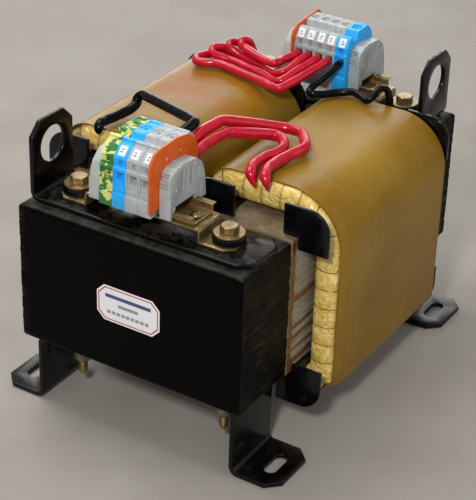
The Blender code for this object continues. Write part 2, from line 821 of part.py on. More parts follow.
FRONT_BLACK = [
    (-0.0120, -0.1112, 0.2330),
    (-0.0120, -0.1045, 0.2335),
    (-0.0095, -0.0960, 0.2390),
    (-0.0050, -0.0870, 0.2440),
    (-0.0048, -0.0787, 0.2455),
    (-0.0138, -0.0721, 0.2440),
    (-0.0305, -0.0636, 0.2415),
    (-0.0545, -0.0511, 0.2375),
    (-0.0741, -0.0414, 0.2345),
    (-0.0840, -0.0362, 0.2322),
    (-0.0878, -0.0372, 0.2290),
    (-0.0880, -0.0402, 0.2252),
    (-0.0892, -0.0455, 0.2222),
    (-0.0915, -0.0530, 0.2206),
    (-0.0935, -0.0640, 0.2203),
    (-0.0945, -0.0745, 0.2207),
    (-0.0940, -0.0825, 0.2206),
    (-0.0930, -0.0858, 0.2175),
    (-0.0925, -0.0858, 0.2130),
]
REAR_REDS = [
    [
        (-0.0893, 0.1078, 0.2060),
        (-0.0895, 0.1080, 0.2150),
        (-0.0950, 0.1048, 0.2206),
        (-0.1006, 0.0960, 0.2198),
        (-0.1042, 0.0880, 0.2198),
        (-0.1060, 0.0800, 0.2198),
        (-0.1030, 0.0738, 0.2197),
        (-0.0970, 0.0740, 0.2197),
        (-0.0864, 0.0785, 0.2197),
        (-0.0785, 0.0793, 0.2197),
        (-0.0580, 0.0748, 0.2199),
        (-0.0329, 0.0673, 0.2206),
        (-0.0160, 0.0618, 0.2214),
        (-0.0106, 0.0605, 0.2222),
        (-0.0076, 0.0628, 0.2230),
        (-0.0062, 0.0672, 0.2238),
        (-0.0022, 0.0800, 0.2262),
        (0.0038, 0.1010, 0.2308),
        (0.0066, 0.1095, 0.2328),
        (0.0070, 0.1143, 0.2330),
    ],
    [
        (-0.0807, 0.1053, 0.2060),
        (-0.0807, 0.1066, 0.2140),
        (-0.0835, 0.1060, 0.2205),
        (-0.0880, 0.1022, 0.2248),
        (-0.0930, 0.0976, 0.2270),
        (-0.0966, 0.0926, 0.2270),
        (-0.0956, 0.0884, 0.2254),
        (-0.0898, 0.0876, 0.2232),
        (-0.0763, 0.0906, 0.2208),
        (-0.0608, 0.0875, 0.2204),
        (-0.0387, 0.0801, 0.2208),
        (-0.0254, 0.0742, 0.2215),
        (-0.0186, 0.0719, 0.2224),
        (-0.0148, 0.0726, 0.2238),
        (-0.0120, 0.0790, 0.2256),
        (-0.0098, 0.0890, 0.2280),
        (-0.0044, 0.1060, 0.2320),
        (-0.0030, 0.1143, 0.2330),
    ],
    [
        (-0.0718, 0.1053, 0.2060),
        (-0.0720, 0.1072, 0.2150),
        (-0.0743, 0.1086, 0.2225),
        (-0.0774, 0.1080, 0.2284),
        (-0.0806, 0.1054, 0.2316),
        (-0.0833, 0.1018, 0.2326),
        (-0.0838, 0.0985, 0.2318),
        (-0.0820, 0.0962, 0.2304),
        (-0.0713, 0.0974, 0.2246),
        (-0.0598, 0.0975, 0.2220),
        (-0.0477, 0.0948, 0.2210),
        (-0.0357, 0.0886, 0.2215),
        (-0.0279, 0.0848, 0.2228),
        (-0.0245, 0.0849, 0.2242),
        (-0.0190, 0.0892, 0.2268),
        (-0.0146, 0.1060, 0.2322),
        (-0.0130, 0.1143, 0.2330),
    ],
    [
        (-0.0632, 0.1053, 0.2060),
        (-0.0634, 0.1075, 0.2150),
        (-0.0656, 0.1094, 0.2240),
        (-0.0686, 0.1092, 0.2308),
        (-0.0706, 0.1070, 0.2354),
        (-0.0730, 0.1026, 0.2364),
        (-0.0718, 0.0986, 0.2350),
        (-0.0674, 0.0974, 0.2330),
        (-0.0531, 0.0928, 0.2308),
        (-0.0428, 0.0894, 0.2304),
        (-0.0371, 0.0876, 0.2305),
        (-0.0321, 0.0866, 0.2309),
        (-0.0291, 0.0884, 0.2314),
        (-0.0278, 0.0985, 0.2316),
        (-0.0238, 0.1075, 0.2328),
        (-0.0230, 0.1143, 0.2330),
    ],
]
REAR_BLACK = [
    (0.0180, 0.1139, 0.2330),
    (0.0178, 0.1070, 0.2315),
    (0.0140, 0.0950, 0.2260),
    (0.0110, 0.0830, 0.2215),
    (0.0125, 0.0750, 0.2190),
    (0.0205, 0.0785, 0.2182),
    (0.0320, 0.0900, 0.2185),
    (0.0430, 0.0950, 0.2200),
    (0.0530, 0.0930, 0.2192),
    (0.0600, 0.0900, 0.2187),
    (0.0640, 0.0940, 0.2230),
    (0.0665, 0.1005, 0.2270),
    (0.0700, 0.1050, 0.2260),
    (0.0735, 0.1055, 0.2180),
    (0.0745, 0.1048, 0.2060),
]


def fine_route(points):
    """A close-set centripetal curve through the route's points."""
    nodes = [Vector(point) for point in points]
    nodes = [2 * nodes[0] - nodes[1]] + nodes + [2 * nodes[-1] - nodes[-2]]
    fine = []
    for k in range(1, len(nodes) - 2):
        p0, p1, p2, p3 = nodes[k - 1 : k + 3]
        t1 = (p1 - p0).length ** 0.5
        t2 = t1 + (p2 - p1).length ** 0.5
        t3 = t2 + (p3 - p2).length ** 0.5
        for i in range(24):
            t = t1 + (t2 - t1) * i / 24
            a1 = p0 * ((t1 - t) / t1) + p1 * (t / t1)
            a2 = p1 * ((t2 - t) / (t2 - t1)) + p2 * ((t - t1) / (t2 - t1))
            a3 = p2 * ((t3 - t) / (t3 - t2)) + p3 * ((t - t2) / (t3 - t2))
            b1 = a1 * ((t2 - t) / t2) + a2 * (t / t2)
            b2 = a2 * ((t3 - t) / (t3 - t1)) + a3 * ((t - t1) / (t3 - t1))
            fine.append(b1 * ((t2 - t) / (t2 - t1)) + b2 * ((t - t1) / (t2 - t1)))
    fine.append(nodes[-2])
    return fine


def smooth_route(points, diameter):
    """Points of the curve: close together in its bends and further apart where it runs straight."""
    fine = fine_route(points)
    result = [fine[0]]
    travelled = 0.0
    heading = (fine[1] - fine[0]).normalized()
    left = sum((b - a).length for a, b in zip(fine, fine[1:]))
    for a, b in zip(fine, fine[1:]):
        step = b - a
        travelled += step.length
        left -= step.length
        turned = heading.angle(step.normalized())
        due = travelled > 2.2 * diameter or turned > math.radians(24)
        if due and travelled > 0.35 * diameter and left > 0.5 * diameter:
            result.append(b)
            travelled = 0.0
            heading = step.normalized()
    result.append(fine[-1])
    return result


def make_lead(name, route, radius, sleeve):
    curve = bpy.data.curves.new(name, "CURVE")
    curve.dimensions = "3D"
    curve.bevel_depth = radius
    curve.bevel_resolution = 2
    curve.use_fill_caps = True
    curve.twist_mode = "MINIMUM"
    points = smooth_route(route, radius * 2)
    spline = curve.splines.new("POLY")
    spline.points.add(len(points) - 1)
    for target, point in zip(spline.points, points):
        target.co = (*point, 1.0)
    curve.materials.append(sleeve)
    lead = bpy.data.objects.new(name, curve)
    bpy.context.scene.collection.objects.link(lead)


def make_leads(red, black):
    make_lead("front_red_lead_1", FRONT_RED_1, SLEEVE_RADIUS, red)
    make_lead("front_red_lead_2", FRONT_RED_2, SLEEVE_RADIUS, red)
    make_lead("front_black_lead", FRONT_BLACK, BLACK_RADIUS, black)
    for index, route in enumerate(REAR_REDS):
        make_lead("rear_red_lead_" + str(index + 1), route, REAR_SLEEVE_RADIUS, red)
    make_lead("rear_black_lead", REAR_BLACK, THIN_BLACK_RADIUS, black)


def main():
    clear_scene()
    black_paint = make_material("black_paint", (0.008, 0.008, 0.010), 0.28)
    core_steel = make_material("varnished_core_steel", (0.16, 0.12, 0.09), 0.55)
    zinc = make_material("yellow_zinc", (0.55, 0.42, 0.20), 0.32, 1.0)
    black_plastic = make_material("black_insulation", (0.010, 0.010, 0.012), 0.35)
    tape = make_material("varnished_tape", (0.62, 0.42, 0.14), 0.45)
    wrap = make_material("amber_wrap", (0.40, 0.25, 0.05), 0.30)
    grey = make_material("grey_terminal_plastic", (0.38, 0.41, 0.42), 0.45)
    blue = make_material("blue_terminal_plastic", (0.02, 0.27, 0.72), 0.45)
    earth = make_material("earth_terminal_plastic", (0.05, 0.28, 0.06), 0.45)
    orange = make_material("orange_plate_plastic", (0.78, 0.15, 0.01), 0.45)
    red = make_material("red_sleeve", (0.50, 0.008, 0.025), 0.25)
    black_sleeve = make_material("black_sleeve", (0.008, 0.008, 0.010), 0.25)
    make_core(black_paint, core_steel)
    for side in (-1, 1):
        make_clamp(side, black_paint)
        make_foot_plate(side, black_paint)
        make_bracket(side, zinc)
        make_rail(side, zinc)
    make_rail_screws(zinc)
    make_fasteners(zinc, black_plastic)
    for hand in (-1, 1):
        make_former(hand, black_plastic)
        make_coil(hand, tape, wrap)
    make_front_terminals(grey, blue, earth, orange)
    make_rear_terminals(grey, blue, orange)
    make_leads(red, black_sleeve)


main()
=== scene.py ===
"""Looks for the dry-type transformer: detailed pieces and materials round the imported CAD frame."""

import math
import random

import bmesh
import bpy
from mathutils import Matrix, Vector, noise


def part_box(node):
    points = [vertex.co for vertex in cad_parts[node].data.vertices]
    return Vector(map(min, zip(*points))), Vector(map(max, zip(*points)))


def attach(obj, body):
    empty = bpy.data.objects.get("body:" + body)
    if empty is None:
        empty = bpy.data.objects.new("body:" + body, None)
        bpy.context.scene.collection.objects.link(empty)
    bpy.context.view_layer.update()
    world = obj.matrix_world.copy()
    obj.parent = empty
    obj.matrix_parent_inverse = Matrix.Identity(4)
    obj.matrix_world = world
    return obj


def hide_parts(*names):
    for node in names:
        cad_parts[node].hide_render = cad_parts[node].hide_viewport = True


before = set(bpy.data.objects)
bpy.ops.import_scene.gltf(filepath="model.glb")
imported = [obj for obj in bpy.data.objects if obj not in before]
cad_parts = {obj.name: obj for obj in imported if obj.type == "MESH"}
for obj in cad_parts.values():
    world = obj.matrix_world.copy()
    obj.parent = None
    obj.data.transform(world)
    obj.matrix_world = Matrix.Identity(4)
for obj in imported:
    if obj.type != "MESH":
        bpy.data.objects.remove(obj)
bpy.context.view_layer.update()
ROOT = "transformer"
HALF_TURN = Matrix.Rotation(math.pi, 4, "Z")
# The gap that part.py keeps between two pieces, and where the four clamp bolts stand.
GAP = 0.0003
BOLT_X, BOLT_Y = 0.070, 0.143
SIDES = {"front": -BOLT_Y, "rear": BOLT_Y}

# -------- materials


class Look:
    """A procedural material, in object coordinates, which are metres in the row frame."""

    def __init__(self, name, **shader_values):
        self.material = bpy.data.materials.new(name)
        self.material.use_nodes = True
        self.tree = self.material.node_tree
        self.shader = self.tree.nodes["Principled BSDF"]
        self.position = self.tree.nodes.new("ShaderNodeTexCoord").outputs["Object"]
        self.set(**shader_values)

    def set(self, **values):
        for name, value in values.items():
            self.feed(self.shader.inputs[name.replace("_", " ")], value)

    def feed(self, socket, value):
        if isinstance(value, bpy.types.NodeSocket):
            self.tree.links.new(value, socket)
        elif isinstance(value, (tuple, list)) and len(value) == 3 and socket.type == "RGBA":
            socket.default_value = (*value, 1.0)
        else:
            socket.default_value = value

    def add(self, kind, inputs, **settings):
        node = self.tree.nodes.new(kind)
        for name, value in settings.items():
            setattr(node, name, value)
        for key, value in inputs.items():
            self.feed(node.inputs[key], value)
        return node

    def stretched(self, scale, turn=(0, 0, 0)):
        node = self.add("ShaderNodeMapping", {"Vector": self.position, "Rotation": turn, "Scale": scale})
        return node.outputs["Vector"]

    def noise(self, size, detail=3.0, rough=0.55, stretch=None, distortion=0.0, turn=(0, 0, 0)):
        """Noise with features of this size in metres; stretch shortens them along each axis."""
        vector = self.stretched(stretch, turn) if stretch else self.position
        values = {"Vector": vector, "Scale": 1.0 / size, "Detail": detail, "Roughness": rough}
        values["Distortion"] = distortion
        return self.add("ShaderNodeTexNoise", values).outputs["Fac"]

    def math(self, operation, a, b=0.0):
        return self.add("ShaderNodeMath", {0: a, 1: b}, operation=operation).outputs[0]

    def times(self, a, b):
        return self.math("MULTIPLY", a, b)

    def plus(self, a, b):
        return self.math("ADD", a, b)

    def away(self, value, center):
        return self.math("ABSOLUTE", self.math("SUBTRACT", value, center))

    def between(self, value, low, high, out_low=0.0, out_high=1.0):
        inputs = {"Value": value, "From Min": low, "From Max": high, "To Min": out_low, "To Max": out_high}
        return self.add("ShaderNodeMapRange", inputs, interpolation_type="SMOOTHSTEP").outputs["Result"]

    def ramp(self, value, *stops):
        node = self.add("ShaderNodeValToRGB", {"Fac": value})
        elements = node.color_ramp.elements
        while len(elements) < len(stops):
            elements.new(0.5)
        for element, (place, color) in zip(elements, stops):
            element.position = place
            element.color = (*color, 1.0)
        return node.outputs["Color"]

    def mix(self, share, a, b):
        node = self.add("ShaderNodeMix", {}, data_type="RGBA")
        self.feed(node.inputs["Factor"], share)
        self.feed(node.inputs["A"], a)
        self.feed(node.inputs["B"], b)
        return node.outputs["Result"]

    def axis(self, name):
        node = self.add("ShaderNodeSeparateXYZ", {"Vector": self.position})
        return node.outputs[name]

    def facing(self, name):
        """How far the surface faces along an axis, from 0 to 1, either way."""
        normal = self.tree.nodes.new("ShaderNodeNewGeometry").outputs["Normal"]
        node = self.add("ShaderNodeSeparateXYZ", {"Vector": normal})
        return self.math("ABSOLUTE", node.outputs[name])

    def attribute(self, name):
        return self.add("ShaderNodeAttribute", {}, attribute_name=name).outputs["Fac"]

    def bump(self, *layers):
        """Bump from (height, distance in metres) layers."""
        normal = None
        for height, distance in layers:
            inputs = {"Height": height, "Distance": distance, "Strength": 1.0}
            if normal is not None:
                inputs["Normal"] = normal
            normal = self.add("ShaderNodeBump", inputs).outputs["Normal"]
        self.set(Normal=normal)


def paint_look():
    look = Look("gloss_black_paint", Specular_IOR_Level=0.30)
    dust = look.noise(0.005, 6.0, 0.65)
    cloud = look.noise(0.032, 3.0, 0.6)
    normal = look.tree.nodes.new("ShaderNodeNewGeometry").outputs["Normal"]
    up = look.add("ShaderNodeSeparateXYZ", {"Vector": normal}).outputs["Z"]
    lying = look.between(up, 0.55, 0.95)
    raised = look.between(look.axis("Z"), 0.05, 0.12, 0.25, 1.0)
    amount = look.times(look.between(look.times(dust, cloud), 0.20, 0.40), lying)
    amount = look.times(amount, raised)
    look.set(Base_Color=look.mix(amount, (0.0015, 0.0015, 0.0017), (0.028, 0.020, 0.012)))
    rough = look.between(cloud, 0.3, 0.75, 0.17, 0.27)
    look.set(Roughness=look.plus(rough, look.times(amount, 0.30)))
    look.bump((look.noise(0.0035, 2.0), 0.00004), (look.noise(0.03, 2.0), 0.0002))
    return look.material


def yoke_look():
    """Black paint brushed over a stack of sheets: smooth on the face, ragged over the sheet ends."""
    look = Look("painted_sheet_stack", Specular_IOR_Level=0.06)
    end = look.between(look.facing("X"), 0.5, 0.85)
    top = look.between(look.facing("Z"), 0.45, 0.95)
    layers = look.noise(0.0025, 5.0, 0.7, stretch=(0.6, 0.12, 1.0), distortion=0.6)
    patches = look.noise(0.020, 4.0, 0.6, stretch=(1.0, 1.0, 0.8))
    worn = look.between(look.times(layers, patches), 0.20, 0.40)
    bare = look.ramp(
        layers,
        (0.25, (0.003, 0.0026, 0.002)),
        (0.55, (0.024, 0.018, 0.010)),
        (0.8, (0.07, 0.052, 0.028)),
    )
    side = look.mix(look.times(worn, 0.75), (0.0018, 0.0017, 0.0016), bare)
    face = look.mix(look.between(patches, 0.5, 0.9), (0.0009, 0.0009, 0.0010), (0.0018, 0.0018, 0.0020))
    # Faces that look up turn a lighter grey-brown: partly dust, partly a painted reflection on the top.
    grime = look.noise(0.008, 7.0, 0.7)
    dust_and_top_sheen = look.mix(look.between(grime, 0.35, 0.75), (0.012, 0.011, 0.009), (0.052, 0.048, 0.036))
    color = look.mix(end, face, side)
    look.set(Base_Color=look.mix(top, color, dust_and_top_sheen))
    rough = look.between(patches, 0.3, 0.8, 0.15, 0.24)
    rough = look.plus(rough, look.times(end, 0.15))
    look.set(Roughness=look.plus(rough, look.times(top, 0.22)))
    ragged = look.times(layers, end)
    look.bump((look.noise(0.04, 2.0), 0.0003), (ragged, 0.0012), (look.noise(0.0025, 2.0), 0.00003))
    return look.material


# (z of its middle, half its height) of each bar of varnish.
VARNISH_BARS = ((0.1335, 0.0034), (0.1075, 0.0028), (0.0970, 0.0021), (0.0872, 0.0019), (0.0750, 0.0030))


def limb_look():
    """Bare sheet edges under brown varnish, with bars of it on the side."""
    look = Look("varnished_limb_steel", Specular_IOR_Level=0.4)
    lines = look.noise(0.004, 6.0, 0.7, stretch=(0.12, 0.4, 1.6))
    grain = look.noise(0.003, 6.0, 0.75, stretch=(0.35, 1.0, 1.0))
    blotch = look.noise(0.016, 4.0)
    base = look.ramp(
        look.plus(look.times(blotch, 0.45), look.times(grain, 0.55)),
        (0.3, (0.060, 0.038, 0.018)),
        (0.5, (0.155, 0.112, 0.062)),
        (0.72, (0.30, 0.235, 0.150)),
    )
    side = look.between(look.facing("X"), 0.5, 0.9)
    grey = look.ramp(grain, (0.3, (0.17, 0.145, 0.11)), (0.7, (0.36, 0.325, 0.265)))
    z = look.plus(look.axis("Z"), look.times(look.noise(0.012, 3.0), 0.004))
    y = look.plus(look.axis("Y"), look.times(look.noise(0.007, 4.0), 0.006))
    stain = look.between(y, -0.0965, -0.0985)
    for center, half in VARNISH_BARS:
        away = look.away(z, center)
        stain = look.math("MAXIMUM", stain, look.between(away, half, half - 0.0010))
    stain = look.times(stain, look.between(look.noise(0.005, 5.0), 0.22, 0.42, 0.45, 1.0))
    red_brown = look.mix(look.noise(0.004, 4.0), (0.080, 0.026, 0.006), (0.24, 0.105, 0.030))
    look.set(Base_Color=look.mix(side, base, look.mix(stain, grey, red_brown)))
    look.set(Roughness=look.between(grain, 0.3, 0.8, 0.34, 0.6))
    look.bump((lines, 0.0003), (grain, 0.0003))
    return look.material


def zinc_look():
    """Yellow passivated zinc, with drifting olive and pink tints."""
    look = Look("yellow_zinc_plate", Metallic=0.85)
    tint = look.noise(0.011, 3.0, 0.6, distortion=0.8)
    color = look.ramp(
        tint,
        (0.28, (0.150, 0.135, 0.060)),
        (0.44, (0.290, 0.205, 0.080)),
        (0.56, (0.360, 0.270, 0.125)),
        (0.66, (0.330, 0.175, 0.100)),
        (0.80, (0.220, 0.200, 0.090)),
    )
    dirt = look.between(look.noise(0.0024, 6.0, 0.7), 0.50, 0.72)
    look.set(Base_Color=look.mix(look.times(dirt, 0.75), color, (0.070, 0.042, 0.016)))
    look.set(Roughness=look.between(look.noise(0.005, 5.0), 0.3, 0.75, 0.26, 0.48))
    look.bump((look.noise(0.0016, 4.0), 0.00006))
    return look.material


def steel_look():
    look = Look("dull_zinc_nuts", Metallic=0.85)
    tint = look.noise(0.006, 4.0)
    look.set(Base_Color=look.ramp(tint, (0.3, (0.16, 0.15, 0.10)), (0.7, (0.36, 0.34, 0.25))))
    look.set(Roughness=look.between(tint, 0.3, 0.7, 0.28, 0.45))
    look.bump((look.noise(0.0012, 4.0), 0.00005))
    return look.material


def board_look():
    """Thick glossy black insulating board."""
    look = Look("glossy_black_board", Specular_IOR_Level=0.32)
    blotch = look.noise(0.012, 4.0)
    share = look.between(blotch, 0.4, 0.8)
    look.set(Base_Color=look.mix(share, (0.0014, 0.0014, 0.0022), (0.0045, 0.0045, 0.006)))
    look.set(Roughness=look.between(blotch, 0.3, 0.7, 0.13, 0.22))
    look.bump((look.noise(0.010, 3.0), 0.00010), (look.noise(0.0008, 2.0), 0.00002))
    return look.material


TAPE_PITCH = 0.0168
TAPE_BOW = 0.0045


def tape_look():
    """Glass tape soaked in amber varnish, wound across the coil's end, with dark seams."""
    look = Look("varnished_glass_tape", Coat_Weight=0.35, Coat_Roughness=0.14, Specular_IOR_Level=0.5)
    along = look.attribute("along")
    wobble = look.times(look.noise(0.014, 3.0), 0.0020)
    turns = look.math("DIVIDE", look.plus(along, wobble), TAPE_PITCH)
    phase = look.math("FRACT", turns)
    away = look.away(phase, 0.5)
    seam = look.between(away, 0.468, 0.494)
    shade = look.between(phase, 0.80, 1.0)
    second = look.between(look.away(phase, 0.085), 0.022, 0.008)
    dashes = look.between(look.noise(0.0013, 2.0), 0.46, 0.56)
    second = look.times(look.times(second, dashes), 0.55)
    broken = look.between(look.noise(0.004, 4.0), 0.28, 0.48)
    seam = look.math("MAXIMUM", look.times(seam, broken), second)
    folds = look.noise(0.010, 3.0, 0.5, distortion=2.2)
    crinkle = look.noise(0.0035, 4.0, 0.6, distortion=1.2)
    # The tape's own tone, running paler on the raised folds: the pale end is a painted highlight on the fold
    # crests.
    base = look.ramp(
        folds,
        (0.28, (0.60, 0.350, 0.055)),
        (0.44, (0.76, 0.520, 0.115)),
        (0.58, (0.87, 0.660, 0.210)),
        (0.76, (0.93, 0.800, 0.420)),
    )
    base = look.mix(look.times(shade, 0.42), base, (0.52, 0.270, 0.042))
    base = look.mix(look.between(crinkle, 0.35, 0.70, 0.0, 0.30), base, (0.56, 0.340, 0.060))
    freckle = look.between(look.noise(0.0019, 4.0, 0.7), 0.66, 0.74)
    base = look.mix(look.times(freckle, 0.45), base, (0.20, 0.070, 0.012))
    look.set(Base_Color=look.mix(seam, base, (0.085, 0.024, 0.008)))
    look.set(Roughness=look.between(crinkle, 0.3, 0.8, 0.20, 0.36))
    weave = look.noise(0.0008, 2.0)
    look.bump((folds, 0.0016), (crinkle, 0.0004), (weave, 0.00006), (look.times(seam, -1.0), 0.0003))
    return look.material


def wrap_look(name, stain):
    """Smooth varnished sheet over taped turns, which show through it as faint bands."""
    look = Look(name, Specular_IOR_Level=0.18)
    cloud = look.noise(0.080, 3.0, 0.5)
    fine = look.noise(0.012, 5.0, 0.6, stretch=(1.0, 0.25, 1.0))
    base = look.ramp(
        cloud, (0.30, (0.212, 0.106, 0.0052)), (0.50, (0.264, 0.142, 0.0082)), (0.72, (0.320, 0.186, 0.0160))
    )
    # Painted shade: the wrap grows darker towards the bottom.
    lower = look.between(look.axis("Z"), 0.17, 0.05)
    base = look.mix(look.times(lower, 0.45), base, (0.165, 0.082, 0.0040))
    # Paler streaks along the coil: a painted highlight.
    base = look.mix(look.between(fine, 0.35, 0.75, 0.0, 0.22), base, (0.37, 0.225, 0.036))
    y = look.axis("Y")
    wobble = look.times(look.noise(0.05, 2.0), 0.010)
    turns = look.math("FRACT", look.math("DIVIDE", look.plus(y, wobble), 0.0118))
    line = look.between(look.away(turns, 0.5), 0.40, 0.49)
    near = look.between(y, 0.03, -0.07)
    faint = look.times(look.times(line, near), look.between(fine, 0.35, 0.6))
    base = look.mix(look.times(faint, 0.36), base, (0.11, 0.050, 0.004))
    if stain:
        low, high = stain
        x = look.axis("X")
        across = look.times(look.between(x, low[0], low[0] + 0.03), look.between(x, high[0], high[0] - 0.03))
        from_front = look.between(y, low[1], low[1] + 0.025)
        lengthways = look.times(from_front, look.between(y, high[1], high[1] - 0.02))
        spot = look.times(across, lengthways)
        ragged = look.times(spot, look.between(look.noise(0.03, 4.0), 0.25, 0.6))
        base = look.mix(look.times(ragged, 0.85), base, (0.31, 0.092, 0.004))
    hairs = look.noise(0.0009, 2.0, 0.5, stretch=(1.0, 0.04, 0.6), turn=(0.2, 0.4, 0.5))
    scratches = look.between(hairs, 0.70, 0.76)
    base = look.mix(look.times(scratches, 0.16), base, (0.62, 0.47, 0.22))
    look.set(Base_Color=base)
    look.set(Roughness=look.between(look.noise(0.02, 4.0), 0.3, 0.75, 0.27, 0.38))
    ripple = look.noise(0.03, 2.0, 0.4, stretch=(0.6, 1.0, 0.6))
    look.bump((ripple, 0.0008), (faint, -0.00008), (look.noise(0.002, 3.0), 0.00002))
    return look.material


def plastic_look(name, color, deep, rough=0.38):
    look = Look(name, Specular_IOR_Level=0.45)
    cloud = look.noise(0.006, 4.0)
    shade = look.mix(look.between(cloud, 0.3, 0.75), deep, color)
    dust = look.between(look.noise(0.0012, 5.0, 0.7), 0.60, 0.75)
    look.set(Base_Color=look.mix(look.times(dust, 0.25), shade, tuple(0.55 * c for c in color)))
    look.set(Roughness=look.between(look.noise(0.003, 4.0), 0.3, 0.75, rough - 0.06, rough + 0.12))
    look.bump((look.noise(0.0006, 2.0), 0.00003))
    return look.material


def earth_look():
    look = Look("earth_green_and_yellow", Specular_IOR_Level=0.45)
    patch = look.noise(0.0078, 2.0, 0.45, stretch=(0.8, 0.9, 0.8), distortion=1.0)
    yellow = look.between(patch, 0.515, 0.545)
    speck = look.noise(0.002, 4.0)
    green = look.mix(speck, (0.010, 0.12, 0.020), (0.045, 0.25, 0.055))
    lime = look.mix(speck, (0.58, 0.58, 0.13), (0.74, 0.74, 0.28))
    look.set(Base_Color=look.mix(yellow, green, lime))
    look.set(Roughness=look.between(speck, 0.3, 0.7, 0.32, 0.48))
    look.bump((look.noise(0.0006, 2.0), 0.00003))
    return look.material


def sleeve_look(name, dark, light, shine):
    """Varnished braided sleeve, glossy and slightly uneven."""
    look = Look(name, Coat_Weight=shine, Coat_Roughness=0.05, Specular_IOR_Level=shine)
    cloud = look.noise(0.010, 4.0)
    look.set(Base_Color=look.mix(look.between(cloud, 0.3, 0.7), dark, light))
    look.set(Roughness=look.between(look.noise(0.006, 3.0), 0.3, 0.7, 0.18, 0.28))
    look.bump((look.noise(0.009, 2.0, 0.4), 0.0004), (look.noise(0.0011, 2.0), 0.00002))
    return look.material


def copper_look():
    look = Look("bare_copper", Metallic=1.0)
    strands = look.noise(0.0006, 2.0, stretch=(1.0, 0.1, 1.0))
    look.set(Base_Color=look.mix(strands, (0.55, 0.22, 0.10), (0.85, 0.45, 0.28)), Roughness=strands)
    return look.material


def floor_look():
    look = Look("pale_floor", Specular_IOR_Level=0.3)
    cloud = look.noise(0.12, 6.0, 0.6)
    color = look.ramp(cloud, (0.3, (0.315, 0.285, 0.250)), (0.7, (0.375, 0.345, 0.305)))
    look.set(Base_Color=color, Roughness=0.75)
    return look.material


def sticker_look(name, color):
    look = Look(name, Specular_IOR_Level=0.5)
    fibre = look.noise(0.0015, 4.0)
    look.set(Base_Color=look.mix(look.times(fibre, 0.25), color, tuple(0.8 * c for c in color)))
    look.set(Roughness=look.between(fibre, 0.3, 0.7, 0.30, 0.42))
    return look.material


PAINT = paint_look()
YOKE = yoke_look()
LIMB = limb_look()
ZINC = zinc_look()
STEEL = steel_look()
BOARD = board_look()
TAPE = tape_look()
WRAP_LEFT = wrap_look("amber_wrap_stained", ((-0.125, 0.000), (-0.010, 0.078)))
WRAP_RIGHT = wrap_look("amber_wrap_clean", None)
GREY = plastic_look("terminal_grey", (0.430, 0.462, 0.458), (0.365, 0.395, 0.392))
BLUE = plastic_look("terminal_blue", (0.022, 0.455, 0.96), (0.015, 0.370, 0.86))
ORANGE = plastic_look("plate_orange", (0.74, 0.120, 0.008), (0.60, 0.088, 0.005))
# Paler orange for the end plate's pips: a painted highlight.
PIP_PAINTED_HIGHLIGHT = plastic_look("plate_pip_painted_highlight", (0.82, 0.36, 0.14), (0.78, 0.30, 0.10))
WHITE = plastic_look("marker_white", (0.82, 0.83, 0.83), (0.74, 0.75, 0.75))
DARK = plastic_look("entry_shadow", (0.03, 0.03, 0.032), (0.015, 0.015, 0.016), 0.6)
EARTH = earth_look()
RED = sleeve_look("crimson_sleeve", (0.42, 0.002, 0.013), (0.58, 0.004, 0.026), 0.28)
BLACK = sleeve_look("black_sleeve_gloss", (0.0010, 0.0010, 0.0012), (0.0028, 0.0026, 0.0022), 0.10)
COPPER = copper_look()

# -------- shapes


def to_world(axis, u, v, along):
    if axis == "x":
        return Vector((along, u, v))
    if axis == "y":
        return Vector((u, along, v))
    return Vector((u, v, along))


def prism(bm, outline, axis, low, high):
    near = [bm.verts.new(to_world(axis, u, v, low)) for u, v in outline]
    far = [bm.verts.new(to_world(axis, u, v, high)) for u, v in outline]
    bm.faces.new(near)
    bm.faces.new(list(reversed(far)))
    count = len(outline)
    for i in range(count):
        j = (i + 1) % count
        bm.faces.new((near[j], near[i], far[i], far[j]))


def arc(center, radius, start, end, steps):
    points = []
    for i in range(steps + 1):
        angle = math.radians(start + (end - start) * i / steps)
        points.append((center[0] + radius * math.cos(angle), center[1] + radius * math.sin(angle)))
    return points


def circle(center, radius, steps=32, phase=0.0):
    return arc(center, radius, phase, phase + 360 - 360 / steps, steps - 1)


def rectangle(u0, v0, u1, v1):
    return [(u0, v0), (u1, v0), (u1, v1), (u0, v1)]


def slot_outline(center, width, length, along_v=True, steps=10):
    radius = width / 2
    half = length / 2 - radius
    if along_v:
        points = arc((center[0], center[1] + half), radius, 0, 180, steps)
        return points + arc((center[0], center[1] - half), radius, 180, 360, steps)
    points = arc((center[0] + half, center[1]), radius, -90, 90, steps)
    return points + arc((center[0] - half, center[1]), radius, 90, 270, steps)


def rounded(outline, radius, steps=5):
    """The outline with each of its corners rounded. radius may be one number or one per corner."""
    count = len(outline)
    radii = radius if isinstance(radius, (list, tuple)) else [radius] * count
    result = []
    for i in range(count):
        before = Vector(outline[i - 1])
        corner = Vector(outline[i])
        after = Vector(outline[(i + 1) % count])
        a = (before - corner).normalized()
        b = (after - corner).normalized()
        opening = a.angle(b)
        if radii[i] <= 0 or opening > math.radians(176):
            result.append(tuple(corner))
            continue
        room = 0.48 * min((before - corner).length, (after - corner).length)
        reach = min(radii[i] / math.tan(opening / 2), room)
        start = corner + a * reach
        end = corner + b * reach
        for k in range(steps + 1):
            t = k / steps
            point = start * (1 - t) ** 2 + corner * 2 * t * (1 - t) + end * t * t
            result.append(tuple(point))
    return result


def mesh_from(bm, name):
    bmesh.ops.recalc_face_normals(bm, faces=bm.faces)
    mesh = bpy.data.meshes.new(name)
    bm.to_mesh(mesh)
    bm.free()
    return mesh


def shaded(mesh, angle=38):
    mesh.shade_smooth()
    mesh.set_sharp_from_angle(angle=math.radians(angle))


def bridge(bm, a, b):
    """Quads between two rings of vertices."""
    for i in range(len(a)):
        j = (i + 1) % len(a)
        bm.faces.new((a[i], a[j], b[j], b[i]))


